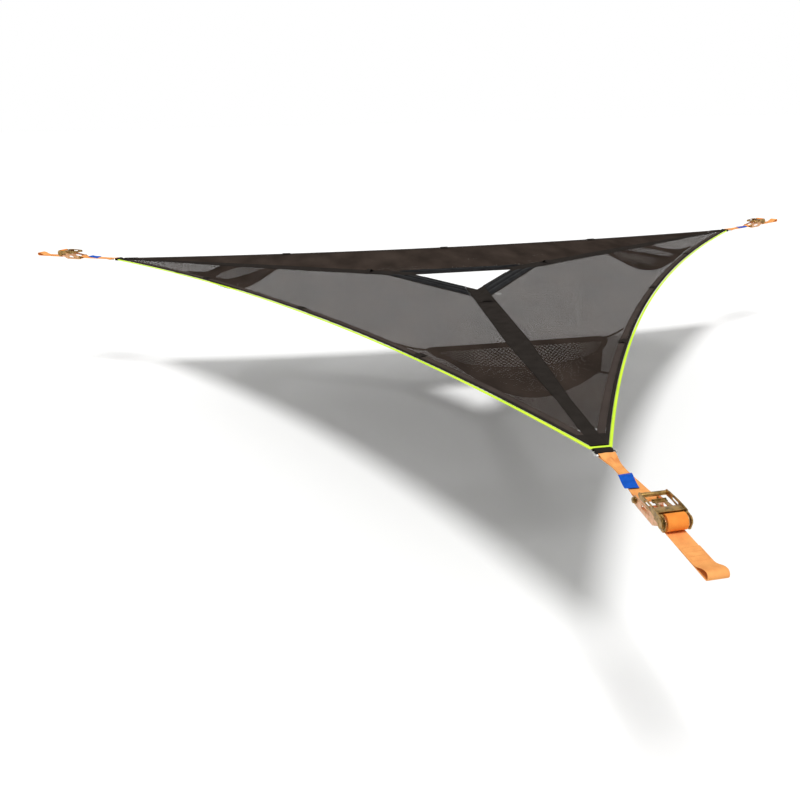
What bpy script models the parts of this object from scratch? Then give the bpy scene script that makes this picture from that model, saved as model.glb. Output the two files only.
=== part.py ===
"""Three-cornered mesh hammock, slung level between three trees.

Metres, +Z up.  The origin is the middle of the floor, in the plane of the mesh.
The front corner points along -Y, the right and left corners 120 degrees either way.
Each corner carries a ring, a sling, a ratchet and the near end of its tree strap.
"""

import math

import bpy
import numpy as np
from mathutils import Matrix

# Clearance between pieces that touch
GAP = 0.0003

# Floor plan: a triangle with concave edges and a short flat at each corner
EDGE_LENGTH = 4.10
CORNER_FLAT = 0.066
EDGE_SAGITTA = 0.180
EDGE_STEPS = 16
FULL_SIDE = EDGE_LENGTH + 2 * CORNER_FLAT
MID_EDGE_R = FULL_SIDE / (2 * math.sqrt(3))
CORNER_R = FULL_SIDE / math.sqrt(3) - CORNER_FLAT * math.sqrt(3) / 2

# Floor layers
MESH_HALF_T = 0.0008
BAND_LOW = MESH_HALF_T + GAP
BAND_T = 0.0020
BINDING_W = 0.010
BINDING_LOW = -0.0030
BINDING_TOP = 0.0035
HEM_W = 0.048
REINFORCED_R = 2.260
PANEL_END_R = 2.250
PANEL_TUCK = 0.0125
SEAM_HALF_GAP = 0.004

# Radial bands, from the hatch to the corners
BAND_HALF_W = 0.049
BAND_TIP_HALF_W = 0.0235
BAND_TAPER_R = (1.30, 2.00)
LOOP_R = 0.600
LOOP_W = 0.025
LOOP_RISE = 0.014
LOOP_SPAN = 0.030
LOOP_FOOT = 0.012

# Hatch in the middle
HATCH_INRADIUS = 0.160
HATCH_EDGE_W = 0.115
HATCH_EDGE_T = 0.010
HATCH_EDGE_STEPS = 8
GEAR_RING_R = 0.014
GEAR_RING_WIRE = 0.0020
GEAR_RING_AT = (0.087, -0.446)

# Storage nets, hung under the corners: along and across the corner's own line
NET_TOP = (1.293, 0.355)
NET_END = (1.700, 0.215)
NET_END_BOW = 0.050
NET_SAG = {"front": 0.100, "right": 0.140, "left": 0.140}
NET_END_DROP = 0.050
NET_HANG = 0.013
NET_RIM_BOW = 0.270
NET_RIM_DROP = 0.018
NET_LAYER_GAP = 0.007
NET_T = 0.0020
NET_COLUMNS = 10
NET_ROWS = 6
TIE_R = 0.0025
TIE_TOP_HEM = (1.200, 0.478)
TIE_END_HEM = (1.752, 0.256)

# Corner tab and ring
RING_WIRE_R = 0.0030
RING_LENGTH = 0.024
RING_HALF_W = 0.0315
RING_CORNER_R = 0.007
RING_AT_R = 2.412
TAB_EYE_R = 0.0044
TAB_T = 0.0025
TAB_HALF_W = 0.0260
TAB_ROOT_R = 2.300

# Webbing of the slings and tree straps: nominal 50 mm
WEB_HALF_W = 0.0240
WEB_T = 0.0022
SLING_EYE_R = 0.0034
SLING_WAIST = 0.78
LABEL_SIZE = (0.086, 0.036, 0.0008)
LABEL_AT = 0.155
LABEL_TURN = math.radians(-10.0)

# Ratchet: distances along the strap line from the corner ring's inner bar
BOLT_X = 0.290
SPOOL_X = 0.450
SPOOL_Z = 0.022
STRAP_END_X = 0.654
STRAP_YAW = {"front": math.radians(2.2), "right": 0.0, "left": 0.0}

BOLT_R = 0.0060
BOLT_HEAD_R = 0.0090
BOLT_HEAD_T = 0.0060
FRAME_INNER_W = 0.0260
FRAME_T = 0.0025
FRAME_LOBE_R = 0.0150
FRAME_BOLT_LOBE_R = 0.0115
WHEEL_W = (0.0290, 0.0320)
WHEEL_TIP_R = 0.0205
WHEEL_ROOT_R = 0.0155
WHEEL_TEETH = 24
SHAFT_R = 0.0090
SHAFT_END_R = 0.0125
SHAFT_END_W = (0.0353, 0.0372)
SLOT_HALF_T = 0.0016
HANDLE_W = (0.0325, 0.0350)
HANDLE_LOBE_R = 0.0140
GRIP_X = -0.120
GRIP_Z = 0.0100
GRIP_R = 0.0055
PAWL_HALF_W = 0.0321
PAWL_Z = 0.00925
PAWL_T = 0.0030
PAWL_TIP_X = -0.0155
PAWL_TIP_T = 0.0008
PAWL_NOTCH = (-0.0235, 0.0252)
DRIVE_PAWL_END_X = -0.034
FINGER_BAR_X = (-0.090, -0.080)
FINGER_BAR_HALF_W = 0.0185
LOCK_PAWL_END_X = -0.040
PAWL_TRAVEL = 0.006

# Webbing wound on the spool: a plain core under one outer turn
CORE_R = 0.0186
TURN_GAP = (0.0005, 0.0009)
TURN_STEPS = 24
TURN_NECK = math.radians(15.0)

# Tree strap and its sewn eye
EYE_LENGTH = 0.060
EYE_INNER_R = 0.0080
EYE_TAPER = 0.022
EYE_SEWN = 0.060

CORNERS = {"front": -90.0, "right": 30.0, "left": 150.0}
EDGES = {"front_right": -30.0, "rear": 90.0, "front_left": 210.0}

MATERIALS = {
    "black_mesh": ((0.020, 0.020, 0.021), 0.70, 0.0),
    "black_webbing": ((0.012, 0.012, 0.013), 0.60, 0.0),
    "black_netting": ((0.015, 0.015, 0.016), 0.70, 0.0),
    "lime_binding": ((0.680, 1.000, 0.060), 0.55, 0.0),
    "zinc_steel": ((0.700, 0.520, 0.240), 0.32, 1.0),
    "bright_steel": ((0.700, 0.700, 0.700), 0.25, 1.0),
    "orange_webbing": ((1.000, 0.260, 0.040), 0.60, 0.0),
    "blue_label": ((0.020, 0.110, 0.800), 0.45, 0.0),
}


# Scene, materials and small builders


def clear_scene():
    for obj in list(bpy.data.objects):
        bpy.data.objects.remove(obj, do_unlink=True)


def material(name):
    """The named finish, made once and shared."""
    found = bpy.data.materials.get(name)
    if found:
        return found
    colour, roughness, metallic = MATERIALS[name]
    made = bpy.data.materials.new(name)
    made.use_nodes = True
    shader = made.node_tree.nodes["Principled BSDF"]
    shader.inputs["Base Color"].default_value = (*colour, 1.0)
    shader.inputs["Roughness"].default_value = roughness
    shader.inputs["Metallic"].default_value = metallic
    return made


def add_object(name, verts, faces, finish):
    """A mesh object whose faces are turned outwards."""
    mesh = bpy.data.meshes.new(name)
    mesh.from_pydata([tuple(v) for v in verts], [], faces)
    mesh.materials.append(material(finish))
    obj = bpy.data.objects.new(name, mesh)
    bpy.context.scene.collection.objects.link(obj)
    turn_outwards(mesh)
    return obj


def turn_outwards(mesh):
    """Reverses a closed mesh whose signed volume is negative."""
    mesh.calc_loop_triangles()
    points = np.array([v.co for v in mesh.vertices])
    triangles = np.array([t.vertices for t in mesh.loop_triangles])
    a, b, c = (points[triangles[:, i]] for i in range(3))
    if np.einsum("ij,ij->i", a, np.cross(b, c)).sum() < 0:
        mesh.flip_normals()


def shade_round(obj, degrees=35.0):
    obj.data.shade_smooth()
    obj.data.set_sharp_from_angle(angle=math.radians(degrees))


def prism_faces(count):
    """Two caps and the side quads of a prism whose rings have count points."""
    faces = [tuple(range(count))[::-1], tuple(range(count, 2 * count))]
    for i in range(count):
        j = (i + 1) % count
        faces.append((i, j, count + j, count + i))
    return faces


def plan_prism(name, outline, low, high, finish):
    """An outline in plan, (x, y), standing from low to high in z."""
    verts = [(x, y, low) for x, y in outline] + [(x, y, high) for x, y in outline]
    return add_object(name, verts, prism_faces(len(outline)), finish)


def side_prism(name, profile, low, high, finish):
    """A side profile, (x, z), running across from y = low to y = high."""
    verts = [(x, low, z) for x, z in profile] + [(x, high, z) for x, z in profile]
    return add_object(name, verts, prism_faces(len(profile)), finish)


def arc(centre, radius, start, end, steps):
    """Points of a circular arc in a plane, with angles in degrees."""
    angles = np.radians(np.linspace(start, end, steps + 1))
    return [
        (centre[0] + radius * math.cos(a), centre[1] + radius * math.sin(a))
        for a in angles
    ]


def cross_cylinder(name, centre, radius, half_w, finish, sides=16):
    """A round bar across the strap line, centred at (x, z)."""
    ring = arc(centre, radius, 0.0, 360.0, sides)[:-1]
    return side_prism(name, ring, -half_w, half_w, finish)


def box(name, low, high, finish):
    outline = [
        (low[0], low[1]),
        (high[0], low[1]),
        (high[0], high[1]),
        (low[0], high[1]),
    ]
    return plan_prism(name, outline, low[2], high[2], finish)


def combine(base, tool, operation):
    """Applies one Boolean to base and removes the tool."""
    cut = base.modifiers.new("combine", "BOOLEAN")
    cut.operation = operation
    cut.solver = "EXACT"
    cut.object = tool
    evaluated = base.evaluated_get(bpy.context.evaluated_depsgraph_get())
    mesh = bpy.data.meshes.new_from_object(evaluated)
    base.modifiers.clear()
    base.data = mesh
    bpy.data.objects.remove(tool, do_unlink=True)
    return base


def fuse(base, *tools):
    for tool in tools:
        combine(base, tool, "UNION")
    return base


def carve(base, *tools):
    for tool in tools:
        combine(base, tool, "DIFFERENCE")
    return base


def add_empty(name, parent=None, at=(0.0, 0.0, 0.0), turn=0.0):
    empty = bpy.data.objects.new(name, None)
    bpy.context.scene.collection.objects.link(empty)
    empty.parent = parent
    empty.matrix_local = Matrix.Translation(at) @ Matrix.Rotation(turn, 4, "Z")
    return empty


# Shape of the floor, worked out for an edge whose middle lies along +X


def corner_axes(side):
    """Direction out to a corner of this edge, and across it towards the edge."""
    turn = math.radians(60.0)
    along = np.array([math.cos(turn), side * math.sin(turn)])
    across = np.array([math.sin(turn), -side * math.cos(turn)])
    return along, across


def corner_point(side, along, across):
    """A point of the corner on this side, across counted towards the edge."""
    u, v = corner_axes(side)
    return tuple(along * u + across * v)


def edge_point(y, inset):
    """The concave edge, a parabola, moved in by inset along its normal."""
    half = EDGE_LENGTH / 2
    x = MID_EDGE_R - EDGE_SAGITTA * (1 - (y / half) ** 2)
    slope = 2 * EDGE_SAGITTA * y / half**2
    normal = np.array([-1.0, slope]) / math.hypot(1.0, slope)
    return np.array([x, y]) + inset * normal


def edge_reach(inset, limit):
    """How far along, in y, the inset edge stays within limit of the corner."""
    along, _ = corner_axes(1)
    low, high = 0.0, EDGE_LENGTH / 2 + 0.1
    for _ in range(60):
        middle = (low + high) / 2
        if edge_point(middle, inset) @ along > limit:
            high = middle
        else:
            low = middle
    return low


def inset_edge(inset, limit):
    """Points of the inset edge from one corner's limit to the other's."""
    reach = edge_reach(inset, limit)
    return [tuple(edge_point(y, inset)) for y in np.linspace(-reach, reach, EDGE_STEPS + 1)]


def floor_panel(name):
    """One third of the floor, between two radial seams and the hatch."""
    outline = inset_edge(PANEL_TUCK, PANEL_END_R)
    inner_r = 2 * (HATCH_INRADIUS + PANEL_TUCK)
    outline.append(corner_point(1, PANEL_END_R, SEAM_HALF_GAP))
    outline.append(corner_point(1, inner_r, SEAM_HALF_GAP))
    outline.append(corner_point(-1, inner_r, SEAM_HALF_GAP))
    outline.append(corner_point(-1, PANEL_END_R, SEAM_HALF_GAP))
    return plan_prism(name, outline, -MESH_HALF_T, MESH_HALF_T, "black_mesh")


def edge_hem(name):
    """The hem along one edge, with half of the patch at either corner."""
    flat_r = CORNER_R - BINDING_W - GAP
    outline = inset_edge(BINDING_W + GAP, flat_r)
    outline.append(corner_point(1, flat_r, GAP))
    outline.append(corner_point(1, REINFORCED_R, GAP))
    outline += inset_edge(HEM_W, REINFORCED_R)[::-1]
    outline.append(corner_point(-1, REINFORCED_R, GAP))
    outline.append(corner_point(-1, flat_r, GAP))
    return plan_prism(name, outline, BAND_LOW, BAND_LOW + BAND_T, "black_webbing")


def edge_binding(name):
    """The bright binding along one edge and across the flat where it starts."""
    inner_limit = CORNER_R - BINDING_W
    outer = [tuple(edge_point(y, 0.0)) for y in np.linspace(-1, 1, EDGE_STEPS + 1) * EDGE_LENGTH / 2]
    inner = inset_edge(BINDING_W, inner_limit)
    end_shift = 2 * GAP * np.array(corner_axes(1)[0])
    outer[-1] = tuple(np.array(outer[-1]) - end_shift)
    inner[-1] = tuple(np.array(inner[-1]) - end_shift)
    u, v = corner_axes(-1)
    inner_start = np.array(inner[0])
    inner_half = inner_start @ v
    far_outer = corner_point(-1, CORNER_R, -CORNER_FLAT / 2)
    far_inner = corner_point(-1, inner_limit, -inner_half)
    outline = outer + inner[::-1] + [far_inner, far_outer]
    return plan_prism(name, outline, BINDING_LOW, BINDING_TOP, "lime_binding")


def hatch_edge(name):
    """Padded edging along one side of the hatch, crowned, with mitred ends."""
    across = np.linspace(0.0, 1.0, HATCH_EDGE_STEPS + 1)
    profile = [
        (HATCH_INRADIUS + HATCH_EDGE_W * s, BAND_LOW + HATCH_EDGE_T * math.sin(math.pi * s) ** 0.6)
        for s in across
    ]
    u, v = corner_axes(1)
    low, high = [], []
    for x, z in profile:
        end = (x * v[0] - BAND_HALF_W - GAP) / -v[1]
        low.append((x, -end, z))
        high.append((x, end, z))
    return add_object(name, low + high, prism_faces(len(profile)), "black_webbing")


def radial_band(name):
    """Wide webbing from the hatch's corner out to the corner patch."""
    notch = 2 * HATCH_INRADIUS - math.sqrt(3) * BAND_HALF_W
    half = [
        (notch, BAND_HALF_W),
        (BAND_TAPER_R[0], BAND_HALF_W),
        (BAND_TAPER_R[1], BAND_TIP_HALF_W),
        (REINFORCED_R - GAP, BAND_TIP_HALF_W),
    ]
    outline = [(2 * HATCH_INRADIUS, 0.0)] + half
    outline += [(x, -y) for x, y in half[::-1]]
    return plan_prism(name, outline, BAND_LOW, BAND_LOW + BAND_T, "black_webbing")


def gear_loop(name):
    """A loop of webbing arched over the radial band."""
    base = BAND_LOW + BAND_T + GAP
    steps = 8
    across = np.linspace(-LOOP_SPAN, LOOP_SPAN, steps + 1)
    rise = [LOOP_RISE * math.cos(math.pi * y / (2 * LOOP_SPAN)) ** 2 for y in across]
    foot = LOOP_SPAN + LOOP_FOOT
    under = [(-foot, base)] + [(y, base + h) for y, h in zip(across, rise)] + [(foot, base)]
    over = [(y, z + BAND_T) for y, z in under]
    profile = under + over[::-1]
    low = [(LOOP_R - LOOP_W / 2, y, z) for y, z in profile]
    high = [(LOOP_R + LOOP_W / 2, y, z) for y, z in profile]
    return add_object(name, low + high, prism_faces(len(profile)), "black_webbing")


def wire_loop(name, centres, wire_r, sides, finish):
    """A closed loop of wire through centres that lie in one level plane."""
    centres = np.array(centres)
    ahead = np.roll(centres, -1, axis=0) - np.roll(centres, 1, axis=0)
    ahead /= np.linalg.norm(ahead, axis=1)[:, None]
    outward = np.stack([ahead[:, 1], -ahead[:, 0], np.zeros(len(ahead))], axis=1)
    turns = 2 * math.pi * np.arange(sides) / sides
    rings = (
        centres[:, None, :]
        + wire_r * np.cos(turns)[None, :, None] * outward[:, None, :]
        + wire_r * np.sin(turns)[None, :, None] * np.array([0.0, 0.0, 1.0])
    )
    faces = []
    count = len(centres)
    for i in range(count):
        for j in range(sides):
            k, m = (i + 1) % count, (j + 1) % sides
            faces.append((i * sides + j, k * sides + j, k * sides + m, i * sides + m))
    obj = add_object(name, rings.reshape(-1, 3), faces, finish)
    shade_round(obj, 60.0)
    return obj


def gear_ring(name):
    """A small ring that lies on the mesh beside the hatch, for hanging a lamp."""
    z = MESH_HALF_T + GAP + GEAR_RING_WIRE
    turns = np.radians(np.arange(0, 360, 22.5))
    x, y = GEAR_RING_AT
    centres = [(x + GEAR_RING_R * math.cos(a), y + GEAR_RING_R * math.sin(a), z) for a in turns]
    return wire_loop(name, centres, GEAR_RING_WIRE, 6, "bright_steel")


# Storage net, worked out for a corner that lies along +X


def net_lower(s, v, sag):
    """The net's lower layer: s runs across, v from the taut band to the fold."""
    u = math.sin(math.pi * s / 2)
    bowl = 1 - u * u
    half = NET_TOP[1] + (NET_END[1] - NET_TOP[1]) * v
    along = NET_TOP[0] + (NET_END[0] - NET_TOP[0]) * v + NET_END_BOW * v * bowl
    z = -NET_HANG - 4 * sag * v * (1 - v) * bowl - NET_END_DROP * v * v * bowl
    return np.array([along, half * u, z])


def net_rim(s):
    """The slack rim of the upper layer, an elliptical arc between the band's ends."""
    u = math.sin(math.pi * s / 2)
    bow = math.sqrt(max(0.0, 1 - u * u))
    z = -NET_HANG - NET_RIM_DROP * bow
    return np.array([NET_TOP[0] + NET_RIM_BOW * bow, NET_TOP[1] * u, z])


def net_upper(s, v, sag):
    """The upper layer: v runs from the fold back to the rim."""
    fold = net_lower(s, 1.0, sag)
    return fold + (net_rim(s) - fold) * v


def net_columns(sag):
    """Rows of the folded net, from the taut band round the fold to the rim."""
    s_values = np.linspace(-1, 1, NET_COLUMNS + 1)
    lift = np.array([0.0, 0.0, NET_LAYER_GAP])
    bend = np.array([NET_LAYER_GAP / 2, 0.0, NET_LAYER_GAP / 2])
    rows = [[net_lower(s, v, sag) for s in s_values] for v in np.linspace(0, 1, NET_ROWS + 1)]
    rows.append([net_lower(s, 1.0, sag) + bend for s in s_values])
    for v in np.linspace(0, 1, NET_ROWS - 1):
        rows.append([net_upper(s, v, sag) + lift for s in s_values])
    return rows


def tie_ends():
    """Each tie's two ends: at the net's corner and at the hem."""
    hem_z = -MESH_HALF_T - GAP - TIE_R
    for side in (-1, 1):
        for net, hem in ((NET_TOP, TIE_TOP_HEM), (NET_END, TIE_END_HEM)):
            start = np.array([net[0], side * (net[1] - 0.010), -NET_HANG])
            end = np.array([hem[0], side * hem[1], hem_z])
            yield start, end


def straight_tube(name, start, end, radius, sides, finish):
    """A straight cord between two points, with flat ends."""
    ahead = (end - start) / np.linalg.norm(end - start)
    side = np.cross(ahead, (0.0, 0.0, 1.0))
    side /= np.linalg.norm(side)
    top = np.cross(side, ahead)
    verts = []
    for centre in (start, end):
        for k in range(sides):
            a = 2 * math.pi * k / sides
            verts.append(centre + radius * (math.cos(a) * side + math.sin(a) * top))
    return add_object(name, verts, prism_faces(sides), finish)


def storage_net(name, sag):
    """A pocket of netting, folded at its far end, with its four ties."""
    rows = net_columns(sag)
    across = NET_COLUMNS + 1
    verts = [p for row in rows for p in row]
    faces = []
    for i in range(len(rows) - 1):
        for j in range(NET_COLUMNS):
            a = i * across + j
            faces.append((a, a + 1, a + across + 1, a + across))
    net = add_object(name, verts, faces, "black_netting")
    wall = net.modifiers.new("wall", "SOLIDIFY")
    wall.thickness = NET_T
    wall.offset = 0.0
    for i, (start, end) in enumerate(tie_ends()):
        fuse(net, straight_tube(f"tie_{i}", start, end, TIE_R, 6, "black_netting"))
    shade_round(net, 50.0)
    return net


# Corner hardware, worked out along a strap line that runs out along +X


def corner_tab(name):
    """Webbing folded round the ring, sewn under the corner patch."""
    eye_x = RING_AT_R
    eye_out = TAB_EYE_R + TAB_T
    under_mesh = -MESH_HALF_T - GAP
    step_x = CORNER_R - BINDING_W - 0.004
    profile = [(TAB_ROOT_R, under_mesh), (TAB_ROOT_R, under_mesh - TAB_T)]
    profile += [(step_x - 0.006, under_mesh - TAB_T), (step_x, -eye_out)]
    profile += arc((eye_x, 0.0), eye_out, -90.0, 120.0, 10)
    profile += [(CORNER_R + 0.006, 0.0), (CORNER_R + 0.002, BINDING_LOW - GAP)]
    profile += [(step_x, BINDING_LOW - GAP), (step_x - 0.003, under_mesh)]
    tab = side_prism(name, profile, -TAB_HALF_W, TAB_HALF_W, "black_webbing")
    eye = cross_cylinder("eye", (eye_x, 0.0), TAB_EYE_R, 2 * TAB_HALF_W, "black_webbing", 12)
    carve(tab, eye)
    shade_round(tab)
    return tab


def corner_ring(name):
    """A welded steel ring: one long bar in the tab, the other in the sling."""
    straight = RING_HALF_W - RING_CORNER_R
    corners = [
        ((RING_CORNER_R, -straight), 180.0),
        ((RING_LENGTH - RING_CORNER_R, -straight), 270.0),
        ((RING_LENGTH - RING_CORNER_R, straight), 0.0),
        ((RING_CORNER_R, straight), 90.0),
    ]
    centres = []
    for centre, start in corners:
        centres += [(x, y, 0.0) for x, y in arc(centre, RING_CORNER_R, start, start + 90.0, 3)]
    return wire_loop(name, centres, RING_WIRE_R, 8, "bright_steel")


def sling(name):
    """Two plies of webbing sewn together, with an eye at the ring and at the bolt."""
    ring_x = RING_LENGTH
    ring_out = SLING_EYE_R + WEB_T
    bolt_out = BOLT_R + 2 * GAP + WEB_T
    flat_x = np.linspace(ring_x + 0.020, BOLT_X - 0.030, 8)
    top = [(x, WEB_T) for x in flat_x]
    profile = arc((ring_x, 0.0), ring_out, 75.0, 285.0, 10)
    profile += [(x, -z) for x, z in top]
    profile += arc((BOLT_X, 0.0), bolt_out, -110.0, 110.0, 12)
    profile += top[::-1]
    web = side_prism(name, profile, -WEB_HALF_W, WEB_HALF_W, "orange_webbing")
    for vert in web.data.vertices:
        share = (vert.co.x - flat_x[0]) / (flat_x[-1] - flat_x[0])
        if 0.0 < share < 1.0:
            vert.co.y *= 1 - (1 - SLING_WAIST) * math.sin(math.pi * share)
    reach = 2 * WEB_HALF_W
    carve(
        web,
        cross_cylinder("ring_eye", (ring_x, 0.0), SLING_EYE_R, reach, "orange_webbing", 12),
        cross_cylinder("bolt_eye", (BOLT_X, 0.0), BOLT_R + 2 * GAP, reach, "orange_webbing", 16),
    )
    shade_round(web)
    return web


def strap_label(name):
    """A blank tag that lies askew on the sling."""
    length, width, thick = LABEL_SIZE
    base = WEB_T + GAP
    turn = np.array([math.cos(LABEL_TURN), math.sin(LABEL_TURN)])
    across = np.array([-turn[1], turn[0]])
    start = np.array([LABEL_AT, 0.0])
    outline = [
        tuple(start + a * length * turn + b * width / 2 * across)
        for a, b in ((0, -1), (1, -1), (1, 1), (0, 1))
    ]
    return plan_prism(name, outline, base, base + thick, "blue_label")


def tree_strap(name):
    """The strap from under the spool to a sewn eye at its tree end."""
    top = -GAP + SPOOL_Z - winding_out_r()
    low = top - WEB_T
    eye_out = EYE_INNER_R + WEB_T
    end_x = STRAP_END_X - eye_out
    eye_z = top + EYE_INNER_R
    join_x = end_x - EYE_LENGTH
    profile = [(SPOOL_X - 0.004, top), (SPOOL_X - 0.004, low)]
    profile += arc((end_x, eye_z), eye_out, -90.0, 90.0, 10)
    profile += [(join_x + EYE_TAPER, eye_z + eye_out)]
    profile += [(join_x, top + WEB_T), (join_x - EYE_SEWN, top + WEB_T), (join_x - EYE_SEWN, top)]
    hollow = arc((end_x, eye_z), EYE_INNER_R, -90.0, 90.0, 8)
    hollow += [(join_x + EYE_TAPER, eye_z + EYE_INNER_R), (join_x + 0.003, top)]
    strap = side_prism(name, profile, -WEB_HALF_W, WEB_HALF_W, "orange_webbing")
    carve(strap, side_prism("hollow", hollow, -2 * WEB_HALF_W, 2 * WEB_HALF_W, "orange_webbing"))
    shade_round(strap)
    return strap


# Ratchet pieces, worked out about the spool's axis: x out along the strap, y across


def bolt_centre():
    return (BOLT_X - SPOOL_X, -SPOOL_Z)


def ratchet_frame(name):
    """Two side plates and a bottom web, holed for the spool, bolt and lock pawl."""
    bolt = bolt_centre()
    web_z = (-0.0345, -0.0320)
    plate = arc((0.0, 0.0), FRAME_LOBE_R, -90.0, 160.0, 10)
    plate += [(-0.022, 0.0035), (-0.060, 0.0015), (-0.120, -0.0055), (bolt[0] + 0.012, -0.0105)]
    plate += arc(bolt, FRAME_BOLT_LOBE_R, 80.0, 270.0, 8)
    plate += [(bolt[0] + 0.016, web_z[0]), (-0.055, web_z[0]), (-0.028, -0.0215)]
    outer = FRAME_INNER_W + FRAME_T
    frame = side_prism(name, plate, FRAME_INNER_W, outer, "zinc_steel")
    other = side_prism("other_plate", plate, -outer, -FRAME_INNER_W, "zinc_steel")
    overlap = FRAME_INNER_W + FRAME_T / 2
    web = box("web", (-0.140, -overlap, web_z[0] + 0.0004), (-0.060, overlap, web_z[1]), "zinc_steel")
    fuse(frame, web, other)
    slot_half = PAWL_T / 2 + 2 * GAP
    slot_low = (LOCK_PAWL_END_X - PAWL_TRAVEL - 0.003, -0.06, -PAWL_Z - slot_half)
    slot_high = (PAWL_TIP_X + 0.003, 0.06, -PAWL_Z + slot_half)
    carve(
        frame,
        cross_cylinder("spool_hole", (0.0, 0.0), SHAFT_R + GAP, 0.06, "zinc_steel"),
        cross_cylinder("bolt_hole", bolt, BOLT_R + GAP, 0.06, "zinc_steel"),
        box("pawl_slot", slot_low, slot_high, "zinc_steel"),
    )
    shade_round(frame)
    return frame


def anchor_bolt(name):
    """The bolt that holds the sling, with its head and its nut."""
    centre = bolt_centre()
    seat = FRAME_INNER_W + FRAME_T + GAP
    bolt = cross_cylinder(name, centre, BOLT_R, seat + BOLT_HEAD_T / 2, "bright_steel")
    for side in (-1, 1):
        head = arc(centre, BOLT_HEAD_R, 0.0, 360.0, 6)[:-1]
        low, high = sorted((side * seat, side * (seat + BOLT_HEAD_T)))
        fuse(bolt, side_prism("head", head, low, high, "bright_steel"))
    shade_round(bolt)
    return bolt


def handle(name):
    """The lever: two curved side plates, a web over the pawl and a round grip."""
    lobe = arc((0.0, 0.0), HANDLE_LOBE_R, -115.0, 70.0, 9)
    outline = lobe + [(-0.020, 0.0175), (-0.060, 0.0190), (-0.100, 0.0170)]
    outline += arc((GRIP_X, GRIP_Z), 0.0075, 75.0, 265.0, 7)
    outline += [(-0.090, 0.0035), (-0.050, 0.0015), (-0.024, -0.0040)]
    plate = side_prism(name, outline, HANDLE_W[0], HANDLE_W[1], "zinc_steel")
    other = side_prism("other_plate", outline, -HANDLE_W[1], -HANDLE_W[0], "zinc_steel")
    overlap = (HANDLE_W[0] + HANDLE_W[1]) / 2
    web = box("web", (-0.046, -overlap, 0.0135), (-0.022, overlap, 0.0158), "zinc_steel")
    grip = cross_cylinder("grip", (GRIP_X, GRIP_Z), GRIP_R, overlap, "zinc_steel", 12)
    fuse(plate, web, grip, other)
    carve(plate, cross_cylinder("hole", (0.0, 0.0), SHAFT_R + GAP, 0.06, "zinc_steel"))
    shade_round(plate)
    return plate


def toothed_wheel(name, low, high):
    """A ratchet wheel with pointed teeth and a gap 30 degrees above the frame's line."""
    outline = []
    for k in range(WHEEL_TEETH):
        gap_angle = 2 * math.pi * k / WHEEL_TEETH
        tip_angle = gap_angle + math.pi / WHEEL_TEETH
        outline.append((WHEEL_ROOT_R * math.cos(gap_angle), WHEEL_ROOT_R * math.sin(gap_angle)))
        outline.append((WHEEL_TIP_R * math.cos(tip_angle), WHEEL_TIP_R * math.sin(tip_angle)))
    return side_prism(name, outline, low, high, "zinc_steel")


def spool(name):
    """The slotted shaft with its two toothed wheels and end discs."""
    shaft = cross_cylinder(name, (0.0, 0.0), SHAFT_R, (sum(SHAFT_END_W)) / 2, "zinc_steel")
    for side in (-1, 1):
        low, high = sorted((side * WHEEL_W[0], side * WHEEL_W[1]))
        fuse(shaft, toothed_wheel("wheel", low, high))
        low, high = sorted((side * SHAFT_END_W[0], side * SHAFT_END_W[1]))
        disc = side_prism("disc", arc((0, 0), SHAFT_END_R, 0.0, 360.0, 16)[:-1], low, high, "zinc_steel")
        fuse(shaft, disc)
    slot_w = FRAME_INNER_W - 2 * GAP
    slot = box("slot", (-0.012, -slot_w, -SLOT_HALF_T), (0.012, slot_w, SLOT_HALF_T), "zinc_steel")
    carve(shaft, slot)
    shade_round(shaft)
    return shaft


def winding_out_r():
    """The largest radius of the wound webbing."""
    return CORE_R + TURN_GAP[1] + WEB_T


def wound_webbing(name):
    """A plain core and one outer turn that leaves it at a neck and ends below."""
    start = math.radians(-90.0)
    turns = np.linspace(0.0, 2 * math.pi - TURN_NECK, TURN_STEPS)
    share = turns / turns[-1]
    inner_r = CORE_R + TURN_GAP[1] + (TURN_GAP[0] - TURN_GAP[1]) * share
    angles = start - turns
    neck_angles = [angles[-1] - TURN_NECK * k / 4 for k in (1, 3)]
    outer = [polar(r + WEB_T, a) for r, a in zip(inner_r, angles)]
    neck = [polar(inner_r[-1] + 0.8 * WEB_T, neck_angles[0]), polar(CORE_R, neck_angles[1])]
    core = [polar(CORE_R, a) for a in angles]
    inner = [polar(r, a) for r, a in zip(inner_r, angles)]
    outline = outer + neck + core + inner[::-1]
    least = min(np.linalg.norm(np.array(p) - np.array(q)) for p in inner for q in core)
    print(f"{name}: least gap between the outer turn and the core {1000 * least:.2f} mm")
    wound = side_prism(name, outline, -WEB_HALF_W, WEB_HALF_W, "orange_webbing")
    bore = cross_cylinder("bore", (0.0, 0.0), SHAFT_R + GAP, 2 * WEB_HALF_W, "orange_webbing")
    carve(wound, bore)
    shade_round(wound)
    return wound


def polar(radius, angle):
    return (radius * math.cos(angle), radius * math.sin(angle))


def pawl_profile(end_x, z):
    """Side view of a pawl plate: a thin tip in the wheel's gap, then full thickness."""
    shoulder = PAWL_TIP_X - 0.0060
    return [
        (PAWL_TIP_X, z - PAWL_TIP_T / 2),
        (PAWL_TIP_X, z + PAWL_TIP_T / 2),
        (shoulder, z + PAWL_TIP_T / 2),
        (shoulder - 0.0015, z + PAWL_T / 2),
        (end_x, z + PAWL_T / 2),
        (end_x, z - PAWL_T / 2),
        (shoulder - 0.0015, z - PAWL_T / 2),
        (shoulder, z - PAWL_TIP_T / 2),
    ]


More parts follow.
